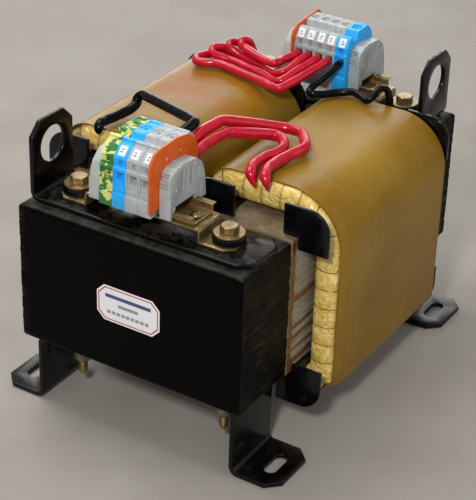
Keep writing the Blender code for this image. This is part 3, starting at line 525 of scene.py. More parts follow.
def skin(bm, rings):
    """Quads between all the rings, with a cap on each end."""
    for a, b in zip(rings, rings[1:]):
        bridge(bm, a, b)
    bm.faces.new(list(reversed(rings[0])))
    bm.faces.new(rings[-1])


def prisms_mesh(name, prisms):
    bm = bmesh.new()
    for outline, axis, low, high in prisms:
        prism(bm, outline, axis, low, high)
    return mesh_from(bm, name)


def cut_mesh(name, mesh, cuts, edge=0.0, segments=2, angle=35):
    """The mesh less each group of prisms in cuts, with its edges bevelled."""
    body = bpy.data.objects.new(name, mesh)
    bpy.context.scene.collection.objects.link(body)
    cutters = []
    for index, group in enumerate(cuts):
        cutter = bpy.data.objects.new(name + "_cut", prisms_mesh(name + "_cut", group))
        bpy.context.scene.collection.objects.link(cutter)
        cutters.append(cutter)
        modifier = body.modifiers.new("Cut" + str(index), "BOOLEAN")
        modifier.operation = "DIFFERENCE"
        modifier.object = cutter
    if edge:
        bevel = body.modifiers.new("Edge", "BEVEL")
        bevel.width = edge
        bevel.segments = segments
        bevel.limit_method = "ANGLE"
        bevel.angle_limit = math.radians(angle)
        bevel.use_clamp_overlap = True
    bpy.context.view_layer.update()
    graph = bpy.context.evaluated_depsgraph_get()
    result = bpy.data.meshes.new_from_object(body.evaluated_get(graph))
    for obj in [body, *cutters]:
        bpy.data.objects.remove(obj, do_unlink=True)
    shaded(result, angle)
    return result


def carved(name, prisms, cuts=(), **edges):
    return cut_mesh(name, prisms_mesh(name, prisms), cuts, **edges)


def corner_cut(u, v, su, sv, cut, past=0.006):
    """Triangle that takes the corner at (u, v) off a sheet, whose outside lies towards (su, sv)."""
    return [
        (u + su * past, v + sv * past),
        (u - su * (cut + past), v + sv * past),
        (u + su * past, v - sv * (cut + past)),
    ]


def hole_pair(x, y, radius, low, high, steps=24):
    return [(circle((hand * x, y), radius, steps), "z", low, high) for hand in (-1, 1)]


def turned(profile, center, steps=40):
    """A turned mesh from (radius, z) points down its outer side; an open profile ends on the axis."""
    bm = bmesh.new()
    rings = []
    for radius, z in profile:
        if radius == 0:
            rings.append([bm.verts.new((center[0], center[1], z))])
        else:
            rings.append([bm.verts.new((u, v, z)) for u, v in circle(center, radius, steps)])
    pairs = len(rings) if profile[0][0] > 0 else len(rings) - 1
    for k in range(pairs):
        first = rings[k]
        second = rings[(k + 1) % len(rings)]
        for i in range(steps):
            j = (i + 1) % steps
            corners = [first[i % len(first)], first[j % len(first)]]
            corners += [second[j % len(second)], second[i % len(second)]]
            bm.faces.new(list(dict.fromkeys(corners)))
    return mesh_from(bm, "turned")


def rounded_ring(inner, outer, low, high, edge=0.0004):
    """Profile of a washer with soft edges."""
    return [
        (inner, high - edge),
        (inner + edge, high),
        (outer - edge, high),
        (outer, high - edge),
        (outer, low + edge),
        (outer - edge, low),
        (inner + edge, low),
        (inner, low + edge),
    ]


def merged(name, meshes, slots=None):
    """One mesh of several. Each keeps its own material index, or takes the one given for it in slots."""
    bm = bmesh.new()
    for index, mesh in enumerate(meshes):
        count = len(bm.faces)
        bm.from_mesh(mesh)
        bm.faces.ensure_lookup_table()
        for face in bm.faces[count:]:
            face.material_index = slots[index] if slots else index
    joined = bpy.data.meshes.new(name)
    bm.to_mesh(joined)
    bm.free()
    return joined


def side_pip(inner, outer, place, sign):
    """A small round pip on a face that looks along X."""
    profile = [(0, 0.0006), (inner, 0.0005), (outer, 0.0001), (outer, -0.0004), (0, -0.0004)]
    pip = turned(profile, (0, 0), 20)
    pip.transform(Matrix.Rotation(math.radians(90) * sign, 4, "Y"))
    pip.transform(Matrix.Translation(place))
    return pip


def add_piece(name, mesh, looks, body=ROOT, stands_for=(), angle=38, matrix=None):
    """Links a mesh as a piece of the object, riding on its body."""
    looks = looks if isinstance(looks, (list, tuple)) else [looks]
    if matrix is not None:
        mesh.transform(matrix)
    mesh.name = name
    for look in looks:
        mesh.materials.append(look)
    shaded(mesh, angle)
    obj = bpy.data.objects.new(name, mesh)
    bpy.context.scene.collection.objects.link(obj)
    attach(obj, body)
    if stands_for:
        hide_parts(*stands_for)
    return obj


def add_to_side(side, name, mesh, look, node):
    """Adds a piece drawn for the front, turned half round when its side is the rear."""
    turn = None if side == "front" else HALF_TURN
    add_piece(side + name, mesh, look, stands_for=[side + node], matrix=turn)


# -------- core


YOKE_LOW, YOKE_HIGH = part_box("core_i_stack")
SHEET_GROUP = 0.001
ROUND_EDGE = 0.0042
STACK_CORNER = 0.0012


def stack_outline(low, high, inset, corner):
    """(x, y, normal x, normal y) points round a stack, close together on its ends and front."""
    x0, x1 = low[0] + inset, high[0] - inset
    y0, y1 = low[1] + inset, high[1] - inset
    points = []
    across = 28
    deep = 10

    def turn_corner(x, y, start, nx):
        for k in range(1, 4):
            angle = math.radians(start + 90 * k / 4)
            points.append((x + corner * math.cos(angle), y + corner * math.sin(angle), nx, -0.7))

    for i in range(across):
        points.append((x0 + corner + (x1 - x0 - 2 * corner) * i / (across - 1), y0, 0, -1))
    turn_corner(x1 - corner, y0 + corner, -90, 0.7)
    for i in range(deep):
        points.append((x1, y0 + corner + (y1 - y0 - 2 * corner) * i / (deep - 1), 1, 0))
    for i in range(across):
        points.append((x1 - corner - (x1 - x0 - 2 * corner) * i / (across - 1), y1, 0, 1))
    for i in range(deep):
        points.append((x0, y1 - corner - (y1 - y0 - 2 * corner) * i / (deep - 1), -1, 0))
    turn_corner(x0 + corner, y0 + corner, 180, -0.7)
    return points


def stack_mesh(low, high, edge, ragged, seed):
    """A clamped stack of sheets: its ends are slightly uneven, sheet by sheet."""
    rng = random.Random(seed)
    bm = bmesh.new()
    height = high[2] - low[2]
    count = round(height / SHEET_GROUP)
    rings = []
    drift = 0.0
    for k in range(count + 1):
        z = low[2] + height * k / count
        from_end = min(z - low[2], high[2] - z)
        inset = 0.0
        if from_end < edge:
            inset = edge - math.sqrt(max(edge * edge - (edge - from_end) ** 2, 0.0))
        drift = 0.6 * drift + rng.uniform(-1, 1) * ragged
        ring = []
        for x, y, nx, ny in stack_outline(low, high, inset, STACK_CORNER):
            wave = noise.noise(Vector((x * 30, y * 30, z * 500 + seed))) * ragged
            share = abs(nx) ** 2
            push = share * (drift + wave - ragged) + (1 - share) * wave * 0.12
            push = min(push, 0.0)
            ring.append(bm.verts.new((x + nx * push, y + ny * push, z)))
        rings.append(ring)
    skin(bm, rings)
    return mesh_from(bm, "stack")


def make_core():
    low, high = YOKE_LOW, YOKE_HIGH
    front = stack_mesh(low, high, ROUND_EDGE, 0.0005, 3)
    add_piece("front_yoke_stack", front, YOKE, stands_for=["core_i_stack"], angle=50)
    rear = stack_mesh(low, high, ROUND_EDGE, 0.0005, 8)
    add_piece("rear_yoke_stack", rear, YOKE, stands_for=["core_u_stack"], angle=50, matrix=HALF_TURN)
    limb_width = high[1] - low[1]
    for name, inner, seed in (("left", low[0], 21), ("right", high[0] - limb_width, 34)):
        a = (inner + 0.0001, high[1] + GAP, low[2] + 0.0002)
        b = (inner + limb_width - 0.0001, -high[1] - GAP, high[2] - 0.0002)
        add_piece(name + "_core_limb", stack_mesh(a, b, 0.0006, 0.0003, seed), LIMB, angle=40)


# -------- clamps and feet

SHEET = 0.004
BEND_INNER, BEND_OUTER = 0.004, 0.008
SHEET_CUT = 0.011
EAR_EYE_Z = 0.2273
LEG_X = 0.0957
FOOT_SLOT_X = 0.1185


def make_clamps():
    low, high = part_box("front_top_clamp")
    floor = low[2]
    center = (low[0] + BEND_OUTER, floor + BEND_OUTER)
    section = [(high[0], floor + SHEET), (high[0], floor)]
    section += arc(center, BEND_OUTER, 270, 180, 12)
    section += [(low[0], high[2]), (low[0] + SHEET, high[2])]
    section += arc(center, BEND_INNER, 180, 270, 12)
    corners = []
    for edge, sign in ((low[1], -1), (high[1], 1)):
        end = corner_cut(high[0], edge, 1, sign, SHEET_CUT)
        corners.append((end, "z", floor - 0.002, floor + SHEET + 0.002))
        ear = corner_cut(edge, high[2], sign, 1, SHEET_CUT)
        corners.append((ear, "x", low[0] - 0.002, low[0] + SHEET + 0.002))
    eye = circle(((low[1] + high[1]) / 2, EAR_EYE_Z), 0.015, 48)
    holes = [(eye, "x", low[0] - 0.003, low[0] + SHEET + 0.003)]
    holes += hole_pair(BOLT_X, -BOLT_Y, 0.005, floor - 0.003, floor + SHEET + 0.003)
    for side in SIDES:
        mesh = carved("clamp", [(section, "y", low[1], high[1])], [corners, holes], edge=0.0011, segments=3)
        add_to_side(side, "_lifting_clamp", mesh, PAINT, "_top_clamp")


def make_feet():
    low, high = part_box("front_foot_plate")
    top = high[2]
    upper = (LEG_X - BEND_OUTER, top - BEND_OUTER)
    lower = (LEG_X + BEND_INNER, SHEET + BEND_INNER)
    tip = high[0]
    right = arc(upper, BEND_OUTER, 90, 0, 10) + arc(lower, BEND_INNER, 180, 270, 10)
    right += [(tip, SHEET), (tip, 0.0)]
    right += arc(lower, BEND_OUTER, 270, 180, 10) + arc(upper, BEND_INNER, 0, 90, 10)
    section = right + [(-u, v) for u, v in reversed(right)]
    middle = (low[1] + high[1]) / 2
    corners = []
    openings = []
    for hand in (-1, 1):
        for edge, sign in ((low[1], -1), (high[1], 1)):
            tip_cut = corner_cut(hand * tip, edge, hand, sign, SHEET_CUT)
            corners.append((tip_cut, "z", -0.002, SHEET + 0.002))
        slot = slot_outline((hand * FOOT_SLOT_X, middle), 0.0105, 0.026)
        openings.append((slot, "z", -0.003, SHEET + 0.003))
        hole = circle((hand * BOLT_X, -BOLT_Y), 0.005, 24)
        openings.append((hole, "z", top - SHEET - 0.003, top + 0.003))
    for side in SIDES:
        mesh = carved("foot", [(section, "y", low[1], high[1])], [corners, openings], edge=0.0009, segments=3)
        add_to_side(side, "_angle_feet", mesh, PAINT, "_foot_plate")


# -------- fasteners

HEX_FLATS = 0.013


def chamfered_hex(center, low, high, phase, both=False):
    """An M8 hexagon whose corners are turned off at the top, and at the bottom too if both."""
    half = HEX_FLATS / 2
    drop = (HEX_FLATS / math.sqrt(3) - half) * 0.55
    levels = [(low, False), (low + drop, True)] if both else [(low, True)]
    levels += [(high - drop, True), (high, False)]
    bm = bmesh.new()
    steps = 48
    rings = []
    for z, full in levels:
        ring = []
        for i in range(steps):
            turn = 2 * math.pi * i / steps
            radius = half / math.cos(turn % (math.pi / 3) - math.pi / 6)
            if not full:
                radius = min(radius, half * 0.985)
            angle = math.radians(phase) + turn
            u, v = radius * math.cos(angle), radius * math.sin(angle)
            ring.append(bm.verts.new((center[0] + u, center[1] + v, z)))
        rings.append(ring)
    skin(bm, rings)
    return mesh_from(bm, "hex")


def thread_profile(radius, top, bottom, pitch=0.00125, depth=0.0006):
    """Ridges of a thread as turned rings, ending in a rounded tip."""
    points = []
    root = radius - depth
    z = top
    while z > bottom + 0.004:
        points += [(radius, z), (radius, z - pitch * 0.15), (root, z - pitch * 0.5), (root, z - pitch * 0.6)]
        z -= pitch
    points += [(radius - 0.0004, bottom + 0.0022), (radius - 0.0012, bottom + 0.0006)]
    return points + [(radius - 0.0024, bottom), (0, bottom)]


def washer(center, outer, low, high, edge):
    return turned(rounded_ring(0.0043, outer, low, high, edge), center, 48)


def make_fasteners():
    rng = random.Random(11)
    for side, y in SIDES.items():
        for hand, x in (("left", -BOLT_X), ("right", BOLT_X)):
            key = side + "_" + hand
            center = (x, y)
            phase = rng.uniform(0, 60) if key != "front_right" else 32
            low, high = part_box("clamp_bolt_" + key)
            head = chamfered_hex(center, high[2] - 0.0053, high[2], phase)
            shank = [(0, high[2] - 0.006), (0.004, high[2] - 0.006), (0.004, 0.062)]
            shank += thread_profile(0.00395, 0.058, low[2])
            bolt = merged("bolt", [head, turned(shank, center, 24)], (0, 0))
            add_piece("hex_bolt_" + key, bolt, ZINC, stands_for=["clamp_bolt_" + key], angle=30)
            low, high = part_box("plain_washer_" + key)
            ring = washer(center, 0.0125, low[2], high[2], 0.0005)
            add_piece("zinc_washer_" + key, ring, ZINC, stands_for=["plain_washer_" + key])
            low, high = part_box("insulating_washer_" + key)
            ring = washer(center, 0.0133, low[2], high[2], 0.0009)
            add_piece("black_washer_" + key, ring, BOARD, stands_for=["insulating_washer_" + key])
            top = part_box("clamp_nuts_" + key)[1][2]
            collar = washer(center, 0.0130, top - 0.0054, top, 0.0008)
            plate = washer(center, 0.0120, top - 0.0073, top - 0.0056, 0.0004)
            nut = chamfered_hex(center, top - 0.0150, top - 0.0075, rng.uniform(0, 60), both=True)
            lock = chamfered_hex(center, top - 0.0233, top - 0.0153, rng.uniform(0, 60), both=True)
            pack = merged("nuts", [plate, collar, nut, lock])
            looks = [STEEL, BOARD, STEEL, STEEL]
            add_piece("nuts_" + key, pack, looks, stands_for=["clamp_nuts_" + key], angle=30)


# -------- coils

LIMB_HALF = 0.035
FORMER_WALL = 0.003
WRAP_SHELL = 0.0011


def coil_outline(center_x, inset, steps_top=22, steps_bottom=8, straight=10):
    """Section (x, z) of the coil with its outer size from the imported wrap, close-set points."""
    low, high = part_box("right_outer_wrap")
    half_width = (high[0] - low[0]) / 2 - inset
    middle_z = (high[2] + low[2]) / 2
    half_height = (high[2] - low[2]) / 2 - inset
    top = 0.045 - inset
    left_top = 0.026 - inset
    bottom = 0.014 - inset
    left, right = center_x - half_width, center_x + half_width
    floor, roof = middle_z - half_height, middle_z + half_height
    corners = [
        arc((right - top, roof - top), top, 0, 90, steps_top),
        arc((left + left_top, roof - left_top), left_top, 90, 180, steps_top),
        arc((left + bottom, floor + bottom), bottom, 180, 270, steps_bottom),
        arc((right - bottom, floor + bottom), bottom, 270, 360, steps_bottom),
    ]
    points = []
    for index, corner in enumerate(corners):
        points += corner
        start = Vector(corner[-1])
        end = Vector(corners[(index + 1) % 4][0])
        for k in range(1, straight):
            points.append(tuple(start.lerp(end, k / straight)))
    return points


def outward(points):
    """Unit normals of a counter-clockwise closed outline."""
    normals = []
    count = len(points)
    for i in range(count):
        a = Vector(points[i - 1])
        b = Vector(points[(i + 1) % count])
        step = (b - a).normalized()
        normals.append(Vector((step.y, -step.x)))
    return normals


def tuck(normal, from_front):
    """How far the coil's outside is drawn in at a distance behind the front edge of its wrap."""
    if from_front > 0.024:
        return 0.0
    across = max(normal.x, 0.0)
    corner = 2 * across * abs(normal.y)
    amount = 0.0034 * across**0.5 + (0.0014 if normal.y > 0 else 0.0036) * corner
    amount += 0.0018 * max(-normal.y, 0.0)
    return amount * (1 - max(from_front, 0.0) / 0.024) ** 2.2


def make_wrap(hand, look):
    """The amber sheet: a closed tube, nowhere quite flat, whose front edge is drawn in over the tape."""
    name = hand + "_outer_wrap"
    low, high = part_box(name)
    center_x = (low[0] + high[0]) / 2
    outer = coil_outline(center_x, 0.0001)
    normals = outward(outer)
    rows = 34
    seed = 5.0 if hand == "left" else 17.0
    bm = bmesh.new()
    shells = []
    for depth in (0.0, WRAP_SHELL):
        rings = []
        for k in range(rows + 1):
            t = k / rows
            lift = 0.0009 * math.exp(-t * 14)
            ring = []
            for (x, z), normal in zip(outer, normals):
                slack = noise.noise(Vector((x * 14 + seed, t * 2.2, z * 14))) * 0.0005 - 0.0006
                front = low[1] + 0.0006 + 0.0009 * noise.noise(Vector((x * 22, z * 22, seed)))
                front -= 0.0022 * max(normal.y, 0.0) * min(max((center_x - x) / 0.05, 0.0), 1.0)
                y = front + (high[1] - 0.0004 - front) * t**1.6
                push = slack + lift - depth - tuck(normal, y - front)
                ring.append(bm.verts.new((x + normal.x * push, y, z + normal.y * push)))
            rings.append(ring)
        shells.append(rings)
    for rings in shells:
        for a, b in zip(rings, rings[1:]):
            bridge(bm, a, b)
    for end in (0, -1):
        bridge(bm, shells[0][end], shells[1][end])
    add_piece(hand + "_amber_wrap", mesh_from(bm, name), look, stands_for=[name], angle=50)


def ring_spokes(center_x, middle_z, inner_x, inner_z, outer):
    """(inner, outer) point pairs round the winding's end, square to each side and fanned at its corners."""
    pairs = []
    for x, z in outer:
        u = x - center_x
        w = z - middle_z
        pairs.append(((max(-inner_x, min(inner_x, u)), max(-inner_z, min(inner_z, w))), (u, w)))
    return pairs


def make_winding(hand):
    """The taped winding: one ring round the limb, whose ends swell a little between the tape's turns."""
    name = hand + "_winding"
    low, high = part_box(name)
    center_x = (low[0] + high[0]) / 2
    middle_z = (low[2] + high[2]) / 2
    inner_x = LIMB_HALF + 2 * GAP + FORMER_WALL + 0.0004
    inner_z = (YOKE_HIGH[2] - YOKE_LOW[2]) / 2 + 2 * GAP + FORMER_WALL + 0.0004
    outer = coil_outline(center_x, 0.0018, steps_top=60, steps_bottom=18, straight=56)
    normals = outward(outer)
    pairs = ring_spokes(center_x, middle_z, inner_x, inner_z, outer)
    along = [0.0]
    mids = [((a[0] + b[0]) / 2, (a[1] + b[1]) / 2) for a, b in pairs]
    for p, q in zip(mids, mids[1:] + mids[:1]):
        along.append(along[-1] + math.dist(p, q))
    total = along[-1]
    turns = round(total / TAPE_PITCH)
    stretch = turns * TAPE_PITCH / total
    seed = 2.0 if hand == "left" else 9.0
    bm = bmesh.new()
    layer = bm.verts.layers.float.new("along")
    rings = []
    for index, (inside, outside) in enumerate(pairs):
        distance = along[index] * stretch
        phase = distance / TAPE_PITCH % 1.0
        puff = 0.0011 * (1 - abs(2 * phase - 1) ** 3) - 0.0002
        a = Vector((center_x + inside[0], 0, middle_z + inside[1]))
        b = Vector((center_x + outside[0], 0, middle_z + outside[1]))
        normal = normals[index]
        drawn_in = Vector((normal.x, 0, normal.y)) * tuck(normal, 0.0)
        profile = []
        steps = 10
        for sign, face in ((-1, low[1]), (1, high[1])):
            row = []
            end = b - drawn_in if sign < 0 else b
            width = (end - a).length
            step = (end - a).normalized()
            for k in range(steps + 1):
                t = k / steps
                depth = TAPE_BOW * (abs(2 * t - 1) ** 2.8)
                wrinkle = noise.noise(Vector((distance * 160, t * 7, seed + sign))) * 0.0005
                wrinkle += noise.noise(Vector((distance * 420, t * 15, seed + 3 * sign))) * 0.0002
                out = min(puff + wrinkle, 0.0012)
                y = face - sign * depth + sign * (out if 0 < k < steps else 0)
                row.append(a + step * (width * t) + Vector((0, y, 0)))
            profile += row if sign < 0 else list(reversed(row))
        ring = []
        for point in profile:
            vertex = bm.verts.new(point)
            vertex[layer] = distance
            ring.append(vertex)
        rings.append(ring)
    for a, b in zip(rings, rings[1:] + rings[:1]):
        bridge(bm, a, b)
    add_piece(hand + "_taped_winding", mesh_from(bm, name), TAPE, stands_for=[name], angle=60)


def four_corners(center, outline):
    """An outline drawn for the upper right corner, placed at each of the four."""
    for sx in (-1, 1):
        for sz in (-1, 1):
            placed = [(center[0] + sx * u, center[1] + sz * v) for u, v in outline]
            yield placed[::-1] if sx * sz < 0 else placed


def make_former(hand):
    """The black corner plates at both ends of the coil, and the angle strips that join them."""
    name = hand + "_coil_former"
    low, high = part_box(name)
    center = ((low[0] + high[0]) / 2, (low[2] + high[2]) / 2)
    half_z = (YOKE_HIGH[2] - YOKE_LOW[2]) / 2
    outer_x = (high[0] - low[0]) / 2
    outer_z = (high[2] - low[2]) / 2
    flat = 0.0008
    big = 0.0185
    flange = [
        (LIMB_HALF + flat, half_z + flat),
        (LIMB_HALF + flat, half_z - 0.0095),
        (outer_x, half_z - 0.0095),
        *arc((outer_x - big, outer_z - big), big, 0, 90, 14),
        (LIMB_HALF - 0.0125, outer_z),
        (LIMB_HALF - 0.0125, half_z + flat),
    ]
    legs = 0.006
    inner_u = LIMB_HALF + GAP
    inner_v = half_z + GAP
    strip = [
        (inner_u, inner_v),
        (inner_u, half_z - legs),
        (inner_u + FORMER_WALL, half_z - legs),
        (inner_u + FORMER_WALL, inner_v + FORMER_WALL),
        (LIMB_HALF - legs, inner_v + FORMER_WALL),
        (LIMB_HALF - legs, inner_v),
    ]
    meshes = []
    for start, end in ((low[1], low[1] + FORMER_WALL), (high[1] - FORMER_WALL, high[1])):
        for placed in four_corners(center, flange):
            meshes.append(carved("flange", [(placed, "y", start, end)], edge=0.0007, segments=3))
    start = low[1] + FORMER_WALL + 0.0001
    for placed in four_corners(center, strip):
        meshes.append(carved("strip", [(placed, "y", start, high[1] - FORMER_WALL - 0.0001)], edge=0.0005))
    add_piece(hand + "_corner_plates", merged(name, meshes, [0] * len(meshes)), BOARD, stands_for=[name])


# -------- brackets and rails


def make_bracket(side):
    """The hat section that stands on the clamp bolts and carries the rail."""
    low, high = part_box("front_rail_bracket")
    base, top = low[2], high[2]
    sheet = 0.002
    half = 0.0535
    end = high[0]
    inner = half - sheet
    right = [(end, base), (end, base + sheet), (half, base + sheet), (half, top)]
    outline = right + [(-u, v) for u, v in reversed(right)]
    outline += [(-inner, base), (-inner, top - sheet), (inner, top - sheet), (inner, base)]
    radii = [0, 0, 0.0012, 0.0032, 0.0032, 0.0012, 0, 0, 0.0022, 0.0012, 0.0012, 0.0022]
    outline = rounded(outline, radii, 6)
    y = (low[1] + high[1]) / 2
    corners = []
    for hand in (-1, 1):
        for edge, sign in ((low[1], -1), (high[1], 1)):
            tab = corner_cut(hand * end, edge, hand, sign, 0.007, 0.004)
            corners.append((tab, "z", base - 0.002, base + sheet + 0.002))
    holes = hole_pair(BOLT_X, y, 0.0048, base - 0.002, base + sheet + 0.002)
    holes += hole_pair(0.040, y, 0.0029, top - 0.005, top + 0.002, 20)
    mesh = carved("bracket", [(outline, "y", low[1], high[1])], [corners, holes], edge=0.0004)
    add_to_side(side, "_hat_bracket", mesh, ZINC, "_rail_bracket")


def make_rail(side):
    """A 35 mm top-hat rail."""
    low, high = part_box("front_din_rail")
    y = (low[1] + high[1]) / 2
    floor, top = low[2], high[2]
    gauge = 0.001
    wide, wall = 0.0175, 0.0135
    right = [(wall, floor), (wall, top - gauge), (wide, top - gauge), (wide, top)]
    inner = wall - gauge
    section = [(-u, v) for u, v in reversed(right)] + right
    section += [(inner, top), (inner, floor + gauge), (-inner, floor + gauge), (-inner, top)]
    half_radii = [0.0003, 0.0003, 0.0004, 0.0013]
    radii = half_radii + half_radii[::-1] + [0.0013, 0.0005, 0.0005, 0.0013]
    section = [(y + u, v) for u, v in rounded(section, radii, 5)]
    slots = []
    for x in (-0.038, 0.038):
        slots.append((slot_outline((x, y), 0.0058, 0.012, along_v=False), "z", floor - 0.002, floor + 0.003))
    mesh = carved("rail", [(section, "x", low[0], high[0])], [slots], edge=0.00025)
    add_to_side(side, "_top_hat_rail", mesh, ZINC, "_din_rail")


def make_rail_screw(side, hand, turn):
    """A pan-head screw with a cross slot, turned by an angle of its own."""
    node = "rail_screw_" + side + "_" + hand
    low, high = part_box(node)
    center = ((low[0] + high[0]) / 2, (low[1] + high[1]) / 2)
    top = high[2]
    head = top - 0.0032
    profile = [(0, top), (0.0018, top - 0.0001), (0.0032, top - 0.0006), (0.0042, top - 0.0015)]
    profile += [(0.0047, top - 0.0025), (0.0046, head), (0.0024, head), (0.0024, low[2] + 0.001), (0, low[2])]
    groups = []
    for angle in (turn, turn + math.pi / 2):
        c, s = math.cos(angle), math.sin(angle)
        bar = rectangle(-0.0026, -0.0005, 0.0026, 0.0005)
        bar = [(center[0] + c * u - s * v, center[1] + s * u + c * v) for u, v in bar]
        groups.append([(bar, "z", top - 0.0016, top + 0.001)])
    screw = cut_mesh("screw", turned(profile, center, 28), groups)
    add_piece("pan_screw_" + side + "_" + hand, screw, ZINC, stands_for=[node], angle=32)


def make_brackets_and_rails():
    for side in SIDES:
        make_bracket(side)
        make_rail(side)
        make_rail_screw(side, "left", 0.5)
        make_rail_screw(side, "right", 1.1)


# -------- terminals

# Outlines are (y from the rail's middle, z above the rail) points. FOOT is where a block
# clears the rail's edge, and ABOVE is higher than any block.
RAIL_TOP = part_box("front_din_rail")[1][2]
ABOVE = 0.060
WIRE_WINDOW_Z = 0.0215
RIB = 0.0009
FOOT = 0.0181
BLOCK = [
    (-0.029, -0.004), (-0.029, 0.008), (-0.028, 0.009), (-0.0284, 0.0096), (-0.0274, 0.0102),
    (-0.0274, 0.0292), (-0.0258, 0.03), (-0.0258, 0.0372), (-0.0182, 0.0451), (-0.0174, 0.0443),
    (-0.014, 0.0472), (-0.0146, 0.0484), (-0.012, 0.0488), (-0.0105, 0.0452), (-0.003, 0.0444),
    (-0.0016, 0.0488), (0.024, 0.0488), (0.03, 0.0425), (0.0306, 0.03), (0.031, 0.0098), (0.0325, 0.009),
    (0.0325, -0.004), (FOOT, -0.004), (FOOT, 0.0003), (-FOOT, 0.0003), (-FOOT, -0.004),
]
REAR_BLOCK = [
    (-0.029, -0.004), (-0.029, 0.008), (-0.028, 0.009), (-0.0274, 0.0102), (-0.0274, 0.0292),
    (-0.0262, 0.03), (-0.0262, 0.0355), (-0.0208, 0.0428), (-0.0165, 0.0436), (-0.015, 0.0395),
    (-0.0085, 0.039), (-0.007, 0.0455), (0.0105, 0.0465), (0.0175, 0.04), (0.02, 0.034),
    (0.0205, 0.0098), (0.0215, 0.009), (0.0215, -0.004), (FOOT, -0.004), (FOOT, 0.0003), (-FOOT, 0.0003),
    (-FOOT, -0.004),
]


def on_rail(outline, side):
    return [(SIDES[side] + u, RAIL_TOP + v) for u, v in outline]


# Where each kind of terminal has its back face, tool window, round marks and tag.
SPRING = {
    "front": {
        "outline": BLOCK,
        "back": 0.0310,
        "tool": 0.0085,
        "disc_y": 0.0085,
        "disc": 0.0480,
        "hub": 0.0462,
        "pin_y": -0.0066,
        "slope": ((-0.0244, 0.0387), (-0.0186, 0.0447)),
    },
    "rear": {
        "outline": REAR_BLOCK,
        "back": 0.0205,
        "tool": 0.0075,
        "disc_y": 0.0015,
        "disc": 0.0446,
        "hub": 0.0430,
        "pin_y": -0.0116,
        "slope": ((-0.0262, 0.0355), (-0.0208, 0.0428)),
    },
}


def marker_tag(node, middle, side):
    """The white tag on the sloping top edge, with short dashes in place of its characters."""
    (u0, v0), (u1, v1) = SPRING[side]["slope"]
    slope = math.atan2(v1 - v0, u1 - u0)
    center = Vector((middle, SIDES[side] + (u0 + u1) / 2, RAIL_TOP + (v0 + v1) / 2))
    face = rounded(rectangle(-0.0032, -0.0042, 0.0032, 0.0042), 0.0005, 3)
    tag = carved("tag", [(face, "z", -0.0004, 0.0005)], edge=0.00015)
    marks = []
    rng = random.Random(node)
    for k in range(2):
        u = rng.uniform(-0.0020, -0.0006)
        length = rng.uniform(0.0014, 0.0028)
        v = -0.0014 + 0.0022 * k
        marks.append((rectangle(u, v, u + length, v + 0.0008), "z", 0.00051, 0.00060))
    whole = merged("tag", [tag, prisms_mesh("dashes", marks)])
    whole.transform(Matrix.Translation(center) @ Matrix.Rotation(slope, 4, "X"))
    piece = add_piece(node + "_marker", whole, [WHITE, DARK])


def spring_terminal(node, side, look, marked=True):
    """A spring-clamp terminal: a wire window and a tool window in both faces, and round marks on top."""
    low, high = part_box(node)
    middle = (low[0] + high[0]) / 2
    width = high[0] - low[0]
    kind = SPRING[side]
    y = SIDES[side]
    z = RAIL_TOP + WIRE_WINDOW_Z
    half = 0.0033
    wide = width * 0.38
    face = y - 0.0274
    back = y + kind["back"]
    tool = z + kind["tool"]

    def window(base, top, reach, near, depth):
        ends = (near - 0.02, near + depth) if near < y else (near - depth, near + 0.02)
        return [(rectangle(middle - reach, base, middle + reach, top), "y", *ends)]

    def round_mark(v, radius, steps, base):
        return [(circle((middle, y + v), radius, steps), "z", RAIL_TOP + base, RAIL_TOP + ABOVE)]

    groups = [
        window(z - 0.0080, z + 0.0052, wide, face, 0.0018),
        window(z - half, z + half, half, face, 0.0085),
        window(z - half, z + half, half, back, 0.0085),
        window(tool, tool + 0.0062, wide * 0.86, face, 0.0024),
        window(tool + 0.0008, tool + 0.0046, wide * 0.42, face, 0.0060),
        window(tool + 0.0008, tool + 0.0050, wide * 0.42, back, 0.0050),
        window(z - 0.0118, z - 0.0110, wide * 1.25, face, 0.0007),
        round_mark(kind["disc_y"], width * 0.40, 32, kind["disc"]),
        round_mark(kind["disc_y"], width * 0.15, 20, kind["hub"]),
        round_mark(kind["pin_y"], 0.0014, 16, 0.0370),
    ]
    if side == "front":
        groove = rectangle(middle - wide, y + 0.0170, middle + wide, y + 0.0212)
        groups.append([(groove, "z", RAIL_TOP + 0.0482, RAIL_TOP + ABOVE)])
    block = [(on_rail(kind["outline"], side), "x", low[0], high[0])]
    add_piece(node + "_block", carved(node, block, groups, edge=0.0003), look, stands_for=[node])
    if marked:
        marker_tag(node, middle, side)


END_PLATE = [
    (-0.033, 0.002), (-0.033, 0.0385), (-0.0312, 0.0438), (-0.0262, 0.0498), (-0.02, 0.0512),
    (0.005, 0.052), (0.0185, 0.0494), (0.029, 0.0415), (0.0312, 0.035), (0.0312, 0.002),
]
REAR_END_PLATE = [
    (-0.0298, 0.002), (-0.0298, 0.037), (-0.0272, 0.042), (-0.0215, 0.0452), (0.0145, 0.0478),
    (0.02, 0.044), (0.0225, 0.037), (0.0225, 0.002),
]


def end_plate(side, pip_side):
    """Thin orange plate that closes the row, with two round pips on its open face."""
    node = side + "_end_plate"
    low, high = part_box(node)
    shape = END_PLATE if side == "front" else REAR_END_PLATE
    radii = [0.0008] + [0.003] * (len(shape) - 2) + [0.0008]
    outline = rounded(on_rail(shape, side), radii, 5)
    meshes = [carved("plate", [(outline, "x", low[0], high[0])], edge=0.0005, segments=3)]
    face = high[0] if pip_side > 0 else low[0]
    for u, v in ((-0.0110, 0.0400), (0.0070, 0.0405)):
        meshes.append(side_pip(0.0006, 0.0011, (face, SIDES[side] + u, RAIL_TOP + v), pip_side))
    # The pips take the paler orange, a painted highlight.
    whole = merged("plate", meshes, (0, 1, 1))
    add_piece(side + "_orange_plate", whole, [ORANGE, PIP_PAINTED_HIGHLIGHT], stands_for=[node])


